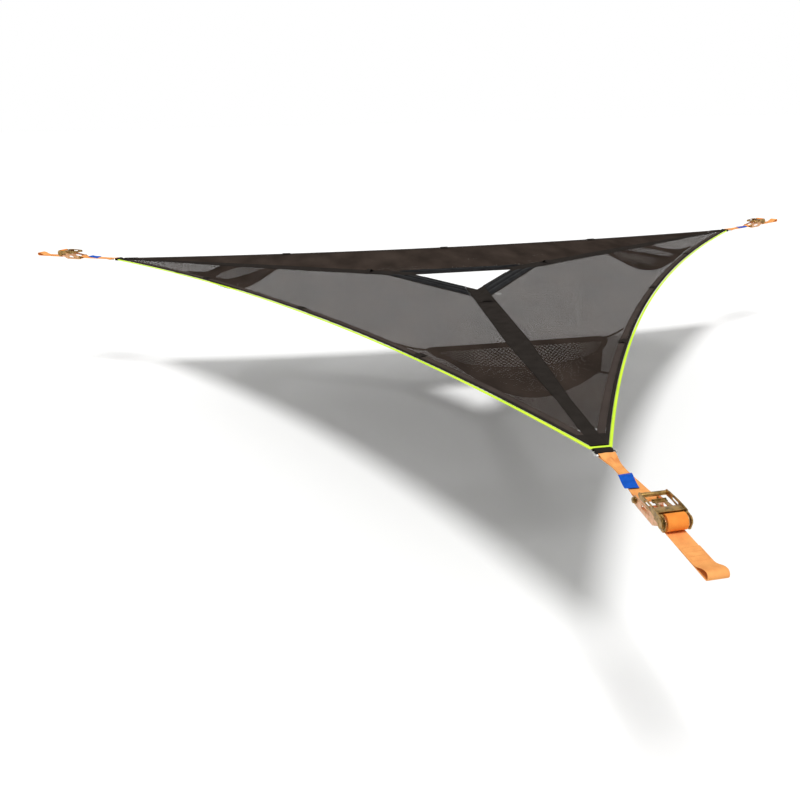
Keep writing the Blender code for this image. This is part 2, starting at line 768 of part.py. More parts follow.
def pawl_plate(name, end_x, z):
    """A plate across both wheels, notched clear of the wound webbing."""
    plate = side_prism(name, pawl_profile(end_x, z), -PAWL_HALF_W, PAWL_HALF_W, "zinc_steel")
    notch_x, notch_w = PAWL_NOTCH
    return carve(plate, box("notch", (notch_x, -notch_w, z - 0.01), (0.0, notch_w, z + 0.01), "zinc_steel"))


def drive_pawl(name):
    """The handle's sliding pawl, with two arms back to its finger bar."""
    pawl = pawl_plate(name, DRIVE_PAWL_END_X, PAWL_Z)
    for side in (-1, 1):
        low, high = sorted((side * 0.009, side * 0.015))
        arm_low = (FINGER_BAR_X[1] - 0.002, low, PAWL_Z - 0.0012)
        arm_high = (DRIVE_PAWL_END_X + 0.002, high, PAWL_Z + 0.0012)
        fuse(pawl, box("arm", arm_low, arm_high, "zinc_steel"))
    bar_low = (FINGER_BAR_X[0], -FINGER_BAR_HALF_W, PAWL_Z - 0.0025)
    bar_high = (FINGER_BAR_X[1], FINGER_BAR_HALF_W, PAWL_Z + 0.0035)
    return fuse(pawl, box("finger_bar", bar_low, bar_high, "zinc_steel"))


def lock_pawl(name):
    """The frame's sliding pawl, which holds the wheels."""
    return pawl_plate(name, LOCK_PAWL_END_X, -PAWL_Z)


# Assembly


def build_floor():
    for edge, degrees in EDGES.items():
        side = add_empty(f"edge_{edge}", turn=math.radians(degrees))
        for make, kind in (
            (floor_panel, "floor_panel"),
            (edge_hem, "edge_hem"),
            (edge_binding, "edge_binding"),
            (hatch_edge, "hatch_edge"),
        ):
            make(f"{kind}_{edge}").parent = side
    gear_ring("gear_ring")


def build_corner(corner, degrees):
    """Everything at one corner, from the radial band out to the tree strap."""
    axis = add_empty(f"corner_{corner}", turn=math.radians(degrees))
    radial_band(f"radial_band_{corner}").parent = axis
    gear_loop(f"gear_loop_{corner}").parent = axis
    storage_net(f"storage_net_{corner}", NET_SAG[corner]).parent = axis
    corner_tab(f"corner_tab_{corner}").parent = axis
    line = add_empty(f"strap_line_{corner}", axis, (RING_AT_R, 0.0, 0.0), STRAP_YAW[corner])
    corner_ring(f"corner_ring_{corner}").parent = line
    sling(f"sling_{corner}").parent = line
    strap_label(f"label_{corner}").parent = line
    tree_strap(f"tree_strap_{corner}").parent = line
    spool_axis = add_empty(f"spool_axis_{corner}", line, (SPOOL_X, 0.0, SPOOL_Z))
    for make, kind in (
        (ratchet_frame, "ratchet_frame"),
        (anchor_bolt, "anchor_bolt"),
        (handle, "handle"),
        (spool, "spool"),
        (wound_webbing, "wound_webbing"),
        (drive_pawl, "drive_pawl"),
        (lock_pawl, "lock_pawl"),
    ):
        make(f"{kind}_{corner}").parent = spool_axis


def main():
    clear_scene()
    build_floor()
    for corner, degrees in CORNERS.items():
        build_corner(corner, degrees)


main()
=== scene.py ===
"""Triangle hammock: its looks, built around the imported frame.

Metres, +Z up.  The floor lies level at z = 0 and the front corner points along -Y.
Four plans are used: an edge's own, with the middle of the edge along +X; a corner's own,
with the corner along +X; a strap line's, from the corner ring outwards; and a spool's.
"""

import math
from functools import partial

import bmesh
import bpy
import numpy as np
from mathutils import Euler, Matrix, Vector
from mathutils.geometry import tessellate_polygon


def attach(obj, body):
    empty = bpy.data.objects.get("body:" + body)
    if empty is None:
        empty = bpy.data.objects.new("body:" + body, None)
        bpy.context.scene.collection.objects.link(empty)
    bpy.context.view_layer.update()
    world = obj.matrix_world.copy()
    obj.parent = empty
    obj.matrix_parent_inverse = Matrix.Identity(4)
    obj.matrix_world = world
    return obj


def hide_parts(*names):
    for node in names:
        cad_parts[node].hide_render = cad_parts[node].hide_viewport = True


bl_info = {
    "name": "Triangle hammock",
    "version": (1, 0, 0),
    "blender": (4, 5, 0),
    "location": "View3D > Sidebar > Hammock",
    "description": "Dresses the frame of a three-cornered mesh hammock",
    "category": "Add Mesh",
}

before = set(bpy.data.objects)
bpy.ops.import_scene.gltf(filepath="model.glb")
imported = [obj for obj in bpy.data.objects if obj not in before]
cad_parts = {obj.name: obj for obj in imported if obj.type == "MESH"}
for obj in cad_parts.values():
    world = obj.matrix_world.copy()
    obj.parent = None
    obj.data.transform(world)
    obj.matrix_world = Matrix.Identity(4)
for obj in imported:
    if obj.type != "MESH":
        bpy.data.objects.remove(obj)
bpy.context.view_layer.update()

# Headings in degrees: corners and edges about Z, and each strap off its corner's own line
CORNERS = {"front": -90.0, "right": 30.0, "left": 150.0}
EDGES = {"front_right": -30.0, "rear": 90.0, "front_left": 210.0}
STRAP_YAW = {"front": 2.2, "right": 0.0, "left": 0.0}
BODY = "hammock"

# Directions in a plan, and the gap that keeps neighbours apart
ACROSS = (0.0, 1.0, 0.0)
UP = (0.0, 0.0, 1.0)
CLEARANCE = 0.0003


# Sizes, colours and stage settings that a user would change


def linear(code):
    """An sRGB hex colour as linear red, green and blue."""
    values = np.array([int(code[i : i + 2], 16) for i in (1, 3, 5)]) / 255
    return tuple(np.where(values <= 0.04045, values / 12.92, ((values + 0.055) / 1.055) ** 2.4))


def length(name, description, default):
    return bpy.props.FloatProperty(
        name=name, description=description, default=default, unit="LENGTH", precision=4
    )


def number(name, description, default, subtype="NONE"):
    return bpy.props.FloatProperty(name=name, description=description, default=default, subtype=subtype)


def colour(name, description, code):
    return bpy.props.FloatVectorProperty(
        name=name, description=description, default=linear(code), subtype="COLOR", min=0, max=1
    )


class FloorSizes(bpy.types.PropertyGroup):
    edge_length: length("Edge", "One concave edge between its corner flats", 4.10)
    corner_flat: length("Corner flat", "The short flat across each corner", 0.066)
    sagitta: length("Sagitta", "How far the middle of an edge is drawn in", 0.180)
    yarn_pitch: length("Yarn pitch", "From one yarn of the mesh to the next", 0.0036)
    yarn_width: length("Yarn width", "Across one yarn, seen from above", 0.00236)
    rib_height: length("Rib height", "Through a yarn that runs along the edge", 0.00068)
    filling_height: length("Filling height", "Through a yarn that runs outwards", 0.00034)
    slack: length("Slack", "Height of the soft waves in the mesh", 0.0005)
    binding: length("Binding", "Width of the bright binding", 0.010)
    hem: length("Hem", "From the edge to the inside of the hem", 0.048)
    hem_tape: length("Hem tape", "From the edge to the inside of the outer tape", 0.0225)
    patch_r: length("Corner patch", "Where the corner patches begin", 2.300)
    band: length("Band", "Half width of a radial band at the hatch", 0.049)
    band_tip: length("Band tip", "Half width of a radial band at its corner", 0.0235)
    hatch: length("Hatch", "From the middle to the inside of the edging", 0.160)
    edging: length("Edging", "Width of the padded edging round the hatch", 0.115)
    loft: length("Loft", "Height of the padded edging", 0.009)
    gear_loop_r: length("Gear loop", "Where the gear loops stand", 0.600)


class NetSizes(bpy.types.PropertyGroup):
    top: length("Taut band", "From the middle to the taut band", 1.293)
    top_half: length("Band half", "Half length of the taut band", 0.355)
    fold: length("Fold", "From the middle to the ends of the fold", 1.700)
    fold_half: length("Fold half", "Half length of the fold", 0.215)
    fold_bow: length("Fold bow", "How far the fold bows outwards", 0.050)
    rim_bow: length("Rim bow", "How far the slack rim hangs back from the taut band", 0.270)
    pitch: length("Pitch", "Width of one cell of the netting", 0.0115)
    strand: length("Strand", "Radius of one strand", 0.0020)
    sag_front: length("Front sag", "How deep the front pocket hangs", 0.100)
    sag_right: length("Right sag", "How deep the right pocket hangs", 0.140)
    sag_left: length("Left sag", "How deep the left pocket hangs", 0.124)
    lean_left: number("Left lean", "Share of its depth that the left pocket lacks at the front", 0.65)


class StrapSizes(bpy.types.PropertyGroup):
    ring_at: length("Ring", "From the middle to the ring's inner bar", 2.412)
    ring_length: length("Ring length", "Between the ring's two long bars", 0.024)
    ring_half: length("Ring half", "Half width of the ring", 0.0315)
    ring_wire: length("Ring wire", "Radius of the ring's wire", 0.0030)
    webbing: length("Webbing", "Half width of the orange webbing", 0.0240)
    ply: length("Ply", "Thickness of one ply of webbing", 0.0022)
    bolt_x: length("Bolt", "From the ring to the anchor bolt", 0.290)
    spool_x: length("Spool", "From the ring to the spool's axis", 0.450)
    spool_z: length("Spool height", "The spool's axis above the strap line", 0.022)
    strap_end: length("Strap end", "From the ring to the tip of the strap's eye", 0.654)


class Colours(bpy.types.PropertyGroup):
    mesh: colour("Mesh", "Yarns of the floor", "#38302b")
    webbing: colour("Black webbing", "Bands, tabs and loops", "#302c29")
    hem: colour("Hem", "Inner strip of the hems", "#48403c")
    netting: colour("Netting", "Strands of the storage nets", "#2a2624")
    edging: colour("Edging", "Padded edging of the hatch", "#1c1c1d")
    lime: colour("Lime", "Binding of the outer edges", "#d4fb48")
    orange: colour("Orange", "Slings and tree straps", "#ffac66")
    # Wound webbing is the strap's orange darkened, painted shade for the tight turns inside the ratchet
    wound: colour("Wound webbing", "Tight turns on the spools, which look deeper", "#fd9643")
    label: colour("Label", "Blank tag on each sling", "#2059be")
    zinc: colour("Zinc", "Pinker plating of the ratchet frames", "#e2ab88")
    zinc_gold: colour("Zinc gold", "Yellower plating of the levers and pawls", "#b48f55")
    zinc_olive: colour("Zinc olive", "The greener patches of the plating", "#5f502c")
    steel: colour("Steel", "Corner rings", "#c9c9c6")


class StageSettings(bpy.types.PropertyGroup):
    camera: bpy.props.FloatVectorProperty(
        name="Camera",
        description="Where the camera stands",
        default=(-0.6501, -4.3372, 0.8901),
        subtype="TRANSLATION",
    )
    yaw: number("Yaw", "Turn of the camera about Z", -0.174122, "ANGLE")
    pitch: number("Pitch", "How far the camera looks down", 0.351086, "ANGLE")
    roll: number("Roll", "Turn of the camera about its own view", -0.019190, "ANGLE")
    lens: number("Lens", "Focal length in millimetres, for a sensor of 36", 36.30)
    shift: number("Shift", "Sideways shift, as a share of the picture's width", -0.1125)
    floor_z: length("Floor", "Height of the floor under the hammock", -0.80)
    sun: number("Sun", "Strength of the sun lamp", 2.35)
    sky: number("Sky", "Strength of the pale sky", 0.52)


GROUPS = {
    "hammock_floor": FloorSizes,
    "hammock_nets": NetSizes,
    "hammock_straps": StrapSizes,
    "hammock_colours": Colours,
    "hammock_stage": StageSettings,
}


# Meshes from arrays


def patch(points, faces, uv=None, finish=0):
    """A closed part of a mesh: points, quads or triangles, a UV for each point, a finish."""
    points = np.asarray(points, float).reshape(-1, 3)
    uv = np.zeros((len(points), 2)) if uv is None else np.asarray(uv, float).reshape(-1, 2)
    faces = [np.asarray(f, int) for f in faces if len(f)]
    triangles = [f if f.shape[1] == 3 else np.vstack([f[:, :3], f[:, [0, 2, 3]]]) for f in faces]
    a, b, c = (points[np.vstack(triangles)[:, i]] for i in range(3))
    if np.einsum("ij,ij->i", a, np.cross(b, c)).sum() < 0:
        faces = [f[:, ::-1] for f in faces]
    return {"points": points, "faces": faces, "uv": uv, "finish": finish}


def grid_faces(rows, columns):
    """Quads of a grid whose points run row by row."""
    row, column = np.meshgrid(np.arange(rows - 1), np.arange(columns - 1), indexing="ij")
    first = (row * columns + column).ravel()
    return np.stack([first, first + 1, first + columns + 1, first + columns], axis=1)


def sheet(points, uv=None, finish=0):
    """A grid of points that closes on itself once its doubles are merged."""
    rows, columns = points.shape[:2]
    return patch(points, [grid_faces(rows, columns)], uv, finish)


def moved(parts, place):
    """The parts with every point carried by place, a function of an array of points."""
    return [{**part, "points": place(part["points"])} for part in parts]


def add_piece(name, parts, finishes, sharp=40.0, weld=True):
    """One mesh object from its parts, filled with whole arrays."""
    mesh = bpy.data.meshes.new(name)
    points = np.concatenate([part["points"] for part in parts])
    uv = np.concatenate([part["uv"] for part in parts])
    starts = np.cumsum([0] + [len(part["points"]) for part in parts[:-1]])
    blocks = [
        (faces + start, part["finish"]) for part, start in zip(parts, starts) for faces in part["faces"]
    ]
    corners = np.concatenate([faces.ravel() for faces, _ in blocks])
    sides = np.concatenate([np.full(len(faces), faces.shape[1]) for faces, _ in blocks])
    used = np.concatenate([np.full(len(faces), finish) for faces, finish in blocks])
    mesh.vertices.add(len(points))
    mesh.vertices.foreach_set("co", points.astype(np.float32).ravel())
    mesh.loops.add(len(corners))
    mesh.loops.foreach_set("vertex_index", corners.astype(np.int32))
    mesh.polygons.add(len(sides))
    mesh.polygons.foreach_set("loop_start", (np.cumsum(sides) - sides).astype(np.int32))
    mesh.polygons.foreach_set("material_index", used.astype(np.int32))
    mesh.update(calc_edges=True)
    layer = mesh.uv_layers.new(name="UVMap")
    layer.data.foreach_set("uv", uv[corners].astype(np.float32).ravel())
    if weld:
        merge_doubles(mesh)
    mesh.shade_smooth()
    mesh.set_sharp_from_angle(angle=math.radians(sharp))
    for finish in finishes:
        mesh.materials.append(bpy.data.materials[finish])
    obj = bpy.data.objects.new(name, mesh)
    bpy.context.scene.collection.objects.link(obj)
    return obj


def merge_doubles(mesh):
    """Closes the seams and poles of a mesh."""
    closest = 1e-6
    shape = bmesh.new()
    shape.from_mesh(mesh)
    bmesh.ops.remove_doubles(shape, verts=shape.verts, dist=closest)
    bmesh.ops.dissolve_degenerate(shape, edges=shape.edges, dist=closest)
    shape.to_mesh(mesh)
    shape.free()


def dress(piece, body, slot, *nodes):
    """Lets a piece ride on a body and hides the nodes that it stands for. Its slot is not used."""
    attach(piece, body)
    if nodes:
        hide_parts(*nodes)


def black_webbing(name, parts, place, *nodes):
    """A piece of black webbing with its stitches."""
    piece = add_piece(name, moved(parts, place), ["black_polypropylene", "black_thread"])
    dress(piece, BODY, "black_webbing", *nodes)


def ratchet_steel(name, parts, corner, body, node, slot="zinc_steel", finish="olive_zinc_steel"):
    """A steel piece of a corner's ratchet, drawn about the spool's axis."""
    piece = add_piece(f"{name}_steel_{corner}", moved(parts, on_spool(corner)), [finish], 35.0)
    dress(piece, body, slot, f"{node}_{corner}")


# Surfaces


def unit(vectors):
    return vectors / np.linalg.norm(vectors, axis=-1, keepdims=True)


def row_at(along, across, up):
    """A row of points by distance along, across and up."""
    along, across, up = np.broadcast_arrays(np.asarray(along, float), across, up)
    return np.stack([along, across, up], axis=-1)


def upright(plan, y=0.0):
    """A path given by x and z, stood up at one y."""
    return row_at(plan[:, 0], y, plan[:, 1])


def tape(centre, across, half, thick, finish=0, columns=6, closed=False):
    """Webbing along a path.

    Every point of the path carries one outline: flat above and below, and a half circle at
    either selvedge.  The two ends are drawn flat, half a thickness beyond the path.
    """
    centre = np.asarray(centre, float)
    across = unit(np.broadcast_to(across, centre.shape).astype(float))
    half, thick = (np.broadcast_to(size, len(centre)).astype(float)[:, None] for size in (half, thick))
    ahead = unit(path_ahead(centre, closed))
    up = unit(np.cross(ahead, across))
    flat = np.linspace(-1, 1, columns + 1)
    round_off = np.radians([45.0, 0.0, -45.0])
    side = np.concatenate([flat, np.ones(3), flat[::-1], -np.ones(3), [-1]])
    out = np.concatenate([0 * flat, np.cos(round_off), 0 * flat, -np.cos(round_off), [0]])
    rise = np.concatenate([0 * flat + 1, np.sin(round_off), 0 * flat - 1, -np.sin(round_off), [1]])
    sideways = (half - thick / 2) * side + thick / 2 * out
    height = thick / 2 * rise
    along = run_of(centre)
    if not closed:
        first, last = centre[0] - thick[0] / 2 * ahead[0], centre[-1] + thick[-1] / 2 * ahead[-1]
        centre = np.vstack([first, centre, last])
        across, up, sideways, height, along = (
            np.concatenate([a[:1], a, a[-1:]]) for a in (across, up, sideways, height, along)
        )
        height[[0, -1]] = 0
    points = centre[:, None] + sideways[..., None] * across[:, None] + height[..., None] * up[:, None]
    uv = np.stack([np.broadcast_to(along[:, None], sideways.shape), sideways], axis=-1)
    return sheet(points, uv, finish)


def run_of(path):
    """Distance along a path at each of its points."""
    return np.concatenate([[0], np.cumsum(np.linalg.norm(np.diff(path, axis=0), axis=1))])


def path_ahead(path, closed=False):
    """The direction of a path at each of its points; a closed path repeats its first point."""
    if not closed:
        return np.gradient(path, axis=0)
    ahead = np.empty_like(path)
    ahead[1:-1] = path[2:] - path[:-2]
    ahead[[0, -1]] = path[1] - path[-2]
    return ahead


def tube(path, radius, sides, closed=False, facing=UP):
    """A round cord or wire along a path: circles square to it, drawn to a point at open ends."""
    path = np.asarray(path, float)
    radius = np.broadcast_to(radius, len(path)).astype(float)
    ahead = unit(path_ahead(path, closed))
    side = unit(np.cross(ahead, facing))
    up = np.cross(side, ahead)
    if not closed:
        tip = 0.4 * radius[[0, -1], None] * ahead[[0, -1]]
        path = np.vstack([path[0] - tip[0], path, path[-1] + tip[1]])
        side, up = (np.vstack([a[:1], a, a[-1:]]) for a in (side, up))
        radius = np.concatenate([[0], radius, [0]])
    turn = np.linspace(0, 2 * math.pi, sides + 1)
    ring = np.cos(turn)[:, None] * side[:, None] + np.sin(turn)[:, None] * up[:, None]
    points = path[:, None] + radius[:, None, None] * ring
    uv = np.stack(np.broadcast_arrays(run_of(path)[:, None], turn[None] * radius.max()), axis=-1)
    return sheet(points, uv)


def lathe(profile, centre, sides=40):
    """A turned bar across y: profile gives y and radius, and centre the axis's x and z."""
    y, radius = np.asarray(profile, float).T
    turn = np.linspace(0, 2 * math.pi, sides + 1)
    points = np.stack(
        [
            centre[0] + radius[:, None] * np.cos(turn),
            np.broadcast_to(y[:, None], (len(y), sides + 1)),
            centre[1] + radius[:, None] * np.sin(turn),
        ],
        axis=-1,
    )
    uv = np.stack(np.broadcast_arrays(y[:, None], turn[None] * radius.max()), axis=-1)
    return sheet(points, uv)


def bar_profile(half, radius, bevel):
    """y and radius of a plain bar from -half to half, its rims turned over by the bevel."""
    turn = np.radians([0.0, 30.0, 60.0, 90.0])
    y = bevel * (1 - np.cos(turn)) - half
    r = radius - bevel * (1 - np.sin(turn))
    return np.stack([[-half, *y, *-y[::-1], half], [0, *r, *r[::-1], 0]], axis=1)


def rounded(outline, radius, steps):
    """A closed outline whose corners are eased by parabolic arcs that start radius away."""
    p = np.asarray(outline, float)
    before, after = np.roll(p, 1, axis=0) - p, np.roll(p, -1, axis=0) - p
    reach = [np.linalg.norm(v, axis=1) for v in (before, after)]
    start = p + before * np.minimum(radius / reach[0], 0.45)[:, None]
    end = p + after * np.minimum(radius / reach[1], 0.45)[:, None]
    t = np.linspace(0, 1, steps + 1)[None, :, None]
    eased = (1 - t) ** 2 * start[:, None] + 2 * t * (1 - t) * p[:, None] + t**2 * end[:, None]
    return eased.reshape(-1, 2)


def eased_box(x, y, radius, steps=4):
    """A rectangle between two x and two y, with eased corners."""
    return rounded([(x[0], y[0]), (x[1], y[0]), (x[1], y[1]), (x[0], y[1])], radius, steps)


def arc(centre, radius, start, end, steps):
    """Points of a circular arc in a plane, with angles in degrees."""
    turn = np.radians(np.linspace(start, end, steps + 1))
    return np.stack([centre[0] + radius * np.cos(turn), centre[1] + radius * np.sin(turn)], axis=1)


def circle(centre, radius, steps=28):
    return arc(centre, radius, 0.0, 360.0, steps)[:-1]


def slot_hole(start, end, radius):
    """A long hole with round ends between two points."""
    start, end = np.array(start), np.array(end)
    slant = math.degrees(math.atan2(*(end - start)[::-1]))
    ends = arc(end, radius, slant - 90, slant + 90, 8), arc(start, radius, slant + 90, slant + 270, 8)
    return np.vstack(ends)


def signed_area(loop):
    """Half the sum of x times the next y less the next x times y, round a closed outline.

    It is positive when the outline runs anticlockwise."""
    x, y = loop.T
    return (x * np.roll(y, -1) - np.roll(x, -1) * y).sum() / 2


def drawn_in(loop, distance, hole):
    """A closed loop moved into the plate's material along its own normals."""
    ahead = unit(np.roll(loop, -1, axis=0) - np.roll(loop, 1, axis=0))
    turn = 1 if (signed_area(loop) > 0) != hole else -1
    return loop + distance * turn * np.stack([-ahead[:, 1], ahead[:, 0]], axis=1)


def plate(outline, low, high, holes=(), bevel=0.0004, plan="xz"):
    """A pressed plate: its rims turn over through a quarter circle of the bevel, and its two
    faces are the outline drawn in by the bevel, filled between their holes."""
    turn = np.radians([90.0, 60.0, 30.0, 0.0])
    draw = np.concatenate([bevel * (1 - np.cos(turn)), bevel * (1 - np.cos(turn[::-1]))])
    level = np.concatenate([low + bevel * (1 - np.sin(turn)), high - bevel * (1 - np.sin(turn[::-1]))])
    order = {"xz": (0, 2, 1), "xy": (0, 1, 2)}[plan]
    points, faces, caps, count = [], [], [], 0
    loops = [(np.asarray(outline, float), False)] + [(np.asarray(h, float), True) for h in holes]
    for loop, hole in loops:
        rows = np.stack([drawn_in(loop, d, hole) for d in draw])
        rows = np.concatenate([rows, rows[:, :1]], axis=1)
        grid = np.zeros((*rows.shape[:2], 3))
        grid[..., order[0]], grid[..., order[1]] = rows[..., 0], rows[..., 1]
        grid[..., order[2]] = level[:, None]
        points.append(grid.reshape(-1, 3))
        faces.append(grid_faces(*rows.shape[:2]) + count)
        caps.append((rows[0, :-1], count + np.arange(len(loop)), (len(draw) - 1) * rows.shape[1]))
        count += rows.shape[0] * rows.shape[1]
    flat = [[Vector((x, y, 0.0)) for x, y in ring] for ring, _, _ in caps]
    near = np.concatenate([index for _, index, _ in caps])
    far = np.concatenate([index + step for _, index, step in caps])
    fill = np.array(tessellate_polygon(flat))
    # The filler's triangles are turned to face one way
    plane = np.concatenate([ring for ring, _, _ in caps])[fill]
    first, second = plane[:, 1] - plane[:, 0], plane[:, 2] - plane[:, 0]
    clockwise = first[:, 0] * second[:, 1] < first[:, 1] * second[:, 0]
    fill[clockwise] = fill[clockwise][:, ::-1]
    # Each rim is turned so that it agrees with the two filled faces
    ways = [1 if (signed_area(loop) > 0) != hole else -1 for loop, hole in loops]
    rims = [rim[:, ::way] for rim, way in zip(faces, ways)]
    points = np.concatenate(points)
    return patch(points, [*rims, near[fill][:, ::-1], far[fill]], points[:, :2] + points[:, 2:])


def bundle(rings, mask=None, finish=0):
    """Many prisms at once: rings holds lines, stations along them, and corners of each ring.

    Stations that the mask leaves out carry no prism, and each run of stations is capped."""
    lines, stations, sides = rings.shape[:3]
    inside = np.ones((lines, stations), bool) if mask is None else mask
    index = np.arange(lines * stations * sides).reshape(lines, stations, sides)
    joined = inside[:, :-1] & inside[:, 1:]
    a, b = index[:, :-1][joined], index[:, 1:][joined]
    quads = np.stack([a, np.roll(a, -1, axis=1), np.roll(b, -1, axis=1), b], axis=-1).reshape(-1, 4)
    none = np.zeros((lines, 1), bool)
    before, after = np.hstack([none, joined]), np.hstack([joined, none])
    caps = [index[after & ~before][:, ::-1], index[before & ~after]]
    made = patch(rings, [quads, *caps], finish=finish)
    used = np.unique(np.concatenate([f.ravel() for f in made["faces"]]))
    renumber = np.zeros(len(made["points"]), int)
    renumber[used] = np.arange(len(used))
    made["faces"] = [renumber[f] for f in made["faces"]]
    made["points"], made["uv"] = made["points"][used], made["uv"][used]
    return made


def stitches(path, pitch, stitch, up=UP, finish=1):
    """A row of sewn stitches on a path: each a four-sided bead, drawn in at both ends.

    The pitch runs from one stitch to the next, and stitch is what shows of the thread."""
    thread = 0.00042
    path = np.asarray(path, float)
    along = run_of(path)
    middle = np.arange(pitch, along[-1] - pitch / 2, pitch)
    stations = middle[:, None] + stitch * np.array([-0.5, 0.0, 0.5])
    centre = np.stack([np.interp(stations, along, path[:, i]) for i in range(3)], axis=-1)
    ahead = unit(centre[:, 2:] - centre[:, :1])
    side, above = (np.broadcast_to(v, centre.shape) for v in (unit(np.cross(ahead, up)), up))
    reach = thread * np.array([0.35, 1.0, 0.35])[:, None, None]
    corner = np.stack([side, above, -side, -above], axis=2) * reach
    return bundle(centre[:, :, None] + corner, finish=finish)


# Places


def turned(points, degrees, shift=(0.0, 0.0, 0.0)):
    """Points turned about Z and then moved."""
    a = math.radians(degrees)
    turn = np.array([[math.cos(a), -math.sin(a), 0], [math.sin(a), math.cos(a), 0], [0, 0, 1]])
    return points @ turn.T + np.array(shift)


def on_edge(edge):
    return lambda points: turned(points, EDGES[edge])


def on_corner(corner):
    return lambda points: turned(points, CORNERS[corner])


def on_line(corner):
    """From a strap line, which starts at the corner ring, to the whole hammock."""
    straps = bpy.context.scene.hammock_straps
    yaw = STRAP_YAW[corner]
    return lambda points: turned(turned(points, yaw, (straps.ring_at, 0, 0)), CORNERS[corner])


def on_spool(corner):
    straps = bpy.context.scene.hammock_straps
    shift = np.array([straps.spool_x, 0.0, straps.spool_z])
    return lambda points: on_line(corner)(points + shift)


# Finishes


def add_node(tree, kind, inputs=None, **settings):
    """A node with its settings; each input is a value or the socket that feeds it."""
    node = tree.nodes.new(kind)
    for name, value in settings.items():
        setattr(node, name, value)
    for name, value in (inputs or {}).items():
        if isinstance(value, bpy.types.NodeSocket):
            tree.links.new(value, node.inputs[name])
        else:
            node.inputs[name].default_value = value
    return node


def new_finish(name, **values):
    """An empty material with its shader's plain values set."""
    material = bpy.data.materials.new(name)
    material.use_nodes = True
    tree = material.node_tree
    shader = tree.nodes["Principled BSDF"]
    for key, value in values.items():
        shader.inputs[key.replace("_", " ")].default_value = value
    return tree, shader


def calculate(tree, operation, *values):
    return add_node(tree, "ShaderNodeMath", dict(enumerate(values)), operation=operation).outputs[0]


def mottle(tree, size, detail=2.0, stretch=None):
    """Soft noise on Object coordinates whose spots are about size metres across."""
    place = add_node(tree, "ShaderNodeTexCoord").outputs["Object"]
    if stretch:
        place = add_node(tree, "ShaderNodeMapping", {"Vector": place, "Scale": stretch}).outputs[0]
    noise = {"Vector": place, "Scale": 1 / size, "Detail": detail}
    return add_node(tree, "ShaderNodeTexNoise", noise).outputs["Fac"]


def ranged(tree, value, low, high, first=0.0, last=1.0):
    """A value that runs from low to high, carried to the range from first to last."""
    inputs = {0: value, 1: low, 2: high, 3: first, 4: last}
    return add_node(tree, "ShaderNodeMapRange", inputs).outputs[0]


def between(tree, share, dark, light, low=0.3, high=0.7):
    """A colour between two, where share runs from low to high.

    Inputs 6 and 7 of the mix node are its two colours, and output 2 is the mixed one."""
    inputs = {0: ranged(tree, share, low, high), 6: (*dark, 1.0), 7: (*light, 1.0)}
    return add_node(tree, "ShaderNodeMix", inputs, data_type="RGBA").outputs[2]


def add_bump(tree, shader, height, strength, distance):
    """Relief, where a height from 0 to 1 stands for the distance."""
    bump = add_node(tree, "ShaderNodeBump", {"Strength": strength, "Distance": distance, "Height": height})
    tree.links.new(bump.outputs[0], shader.inputs["Normal"])


def shaded(value, factor):
    return tuple(min(1.0, factor * c) for c in value)


def woven_height(tree, rib, chevron):
    """Height of a herringbone weave from the piece's UV, in metres: ribs along u, whose
    start slants to and fro across v."""
    uv = add_node(tree, "ShaderNodeUVMap", uv_map="UVMap").outputs[0]
    u, v = add_node(tree, "ShaderNodeSeparateXYZ", {0: uv}).outputs[:2]
    slant = calculate(tree, "PINGPONG", v, chevron)
    wave = calculate(tree, "MULTIPLY", calculate(tree, "ADD", u, slant), 2 * math.pi / rib)
    return calculate(tree, "MULTIPLY_ADD", calculate(tree, "SINE", wave), 0.5, 0.5)


def finish_weave(name, base, rib, chevron, depth, roughness, wear, groove_painted_shade):
    """Woven webbing: ribs lit from the side by their relief, painted shade in the grooves, faded in soft
    patches.

    Its fibres scatter what grazes them, so it has no sharp reflection."""
    tree, shader = new_finish(name, Roughness=roughness, Specular_IOR_Level=0.0)
    height = woven_height(tree, rib, chevron)
    faded = between(tree, mottle(tree, wear), shaded(base, 0.86), shaded(base, 1.12))
    # Painted shade: the colour darkens from the rib tops down into the grooves
    shade = ranged(tree, height, 0.0, 1.0, groove_painted_shade, 1.06)
    tone = add_node(tree, "ShaderNodeVectorMath", {0: faded, 3: shade}, operation="SCALE").outputs[0]
    tree.links.new(tone, shader.inputs["Base Color"])
    add_bump(tree, shader, height, 0.6, depth)


def finish_mesh_yarn(base):
    """Knitted polyester mesh, heat-set: dull yarns whose tone drifts in long soft streaks."""
    tree, shader = new_finish("polyester_mesh", Roughness=0.85, Specular_IOR_Level=0.0)
    streak = mottle(tree, 0.16, 3.0, (1.0, 0.35, 1.0))
    tone = between(tree, streak, shaded(base, 0.7), shaded(base, 1.35))
    tree.links.new(tone, shader.inputs["Base Color"])


def finish_netting(base):
    """Knitted nylon netting: dull twisted strands, a little paler where they fuzz."""
    tree, shader = new_finish("nylon_netting", Roughness=0.8, Specular_IOR_Level=0.0)
    tone = between(tree, mottle(tree, 0.012), shaded(base, 0.75), shaded(base, 1.4))
    tree.links.new(tone, shader.inputs["Base Color"])


def finish_padded_cloth(base):
    """Coated oxford nylon over thin foam: a satin sheen on a square weave.

    Its threads are drawn coarser than real ones.  A metre holds 20 times the wave node's scale
    in radians."""
    tree, shader = new_finish("oxford_nylon", Roughness=0.55, Specular_IOR_Level=0.015)
    thread = 0.0035
    place = add_node(tree, "ShaderNodeTexCoord").outputs["Object"]
    waves = {"Vector": place, "Scale": 2 * math.pi / thread / 20}
    along = add_node(tree, "ShaderNodeTexWave", waves, bands_direction="X").outputs["Fac"]
    across = add_node(tree, "ShaderNodeTexWave", waves, bands_direction="Y").outputs["Fac"]
    weave = calculate(tree, "MULTIPLY", along, across)
    tone = between(tree, mottle(tree, 0.05, 3.0), shaded(base, 0.7), shaded(base, 1.5))
    tree.links.new(tone, shader.inputs["Base Color"])
    add_bump(tree, shader, weave, 0.35, 0.0002)


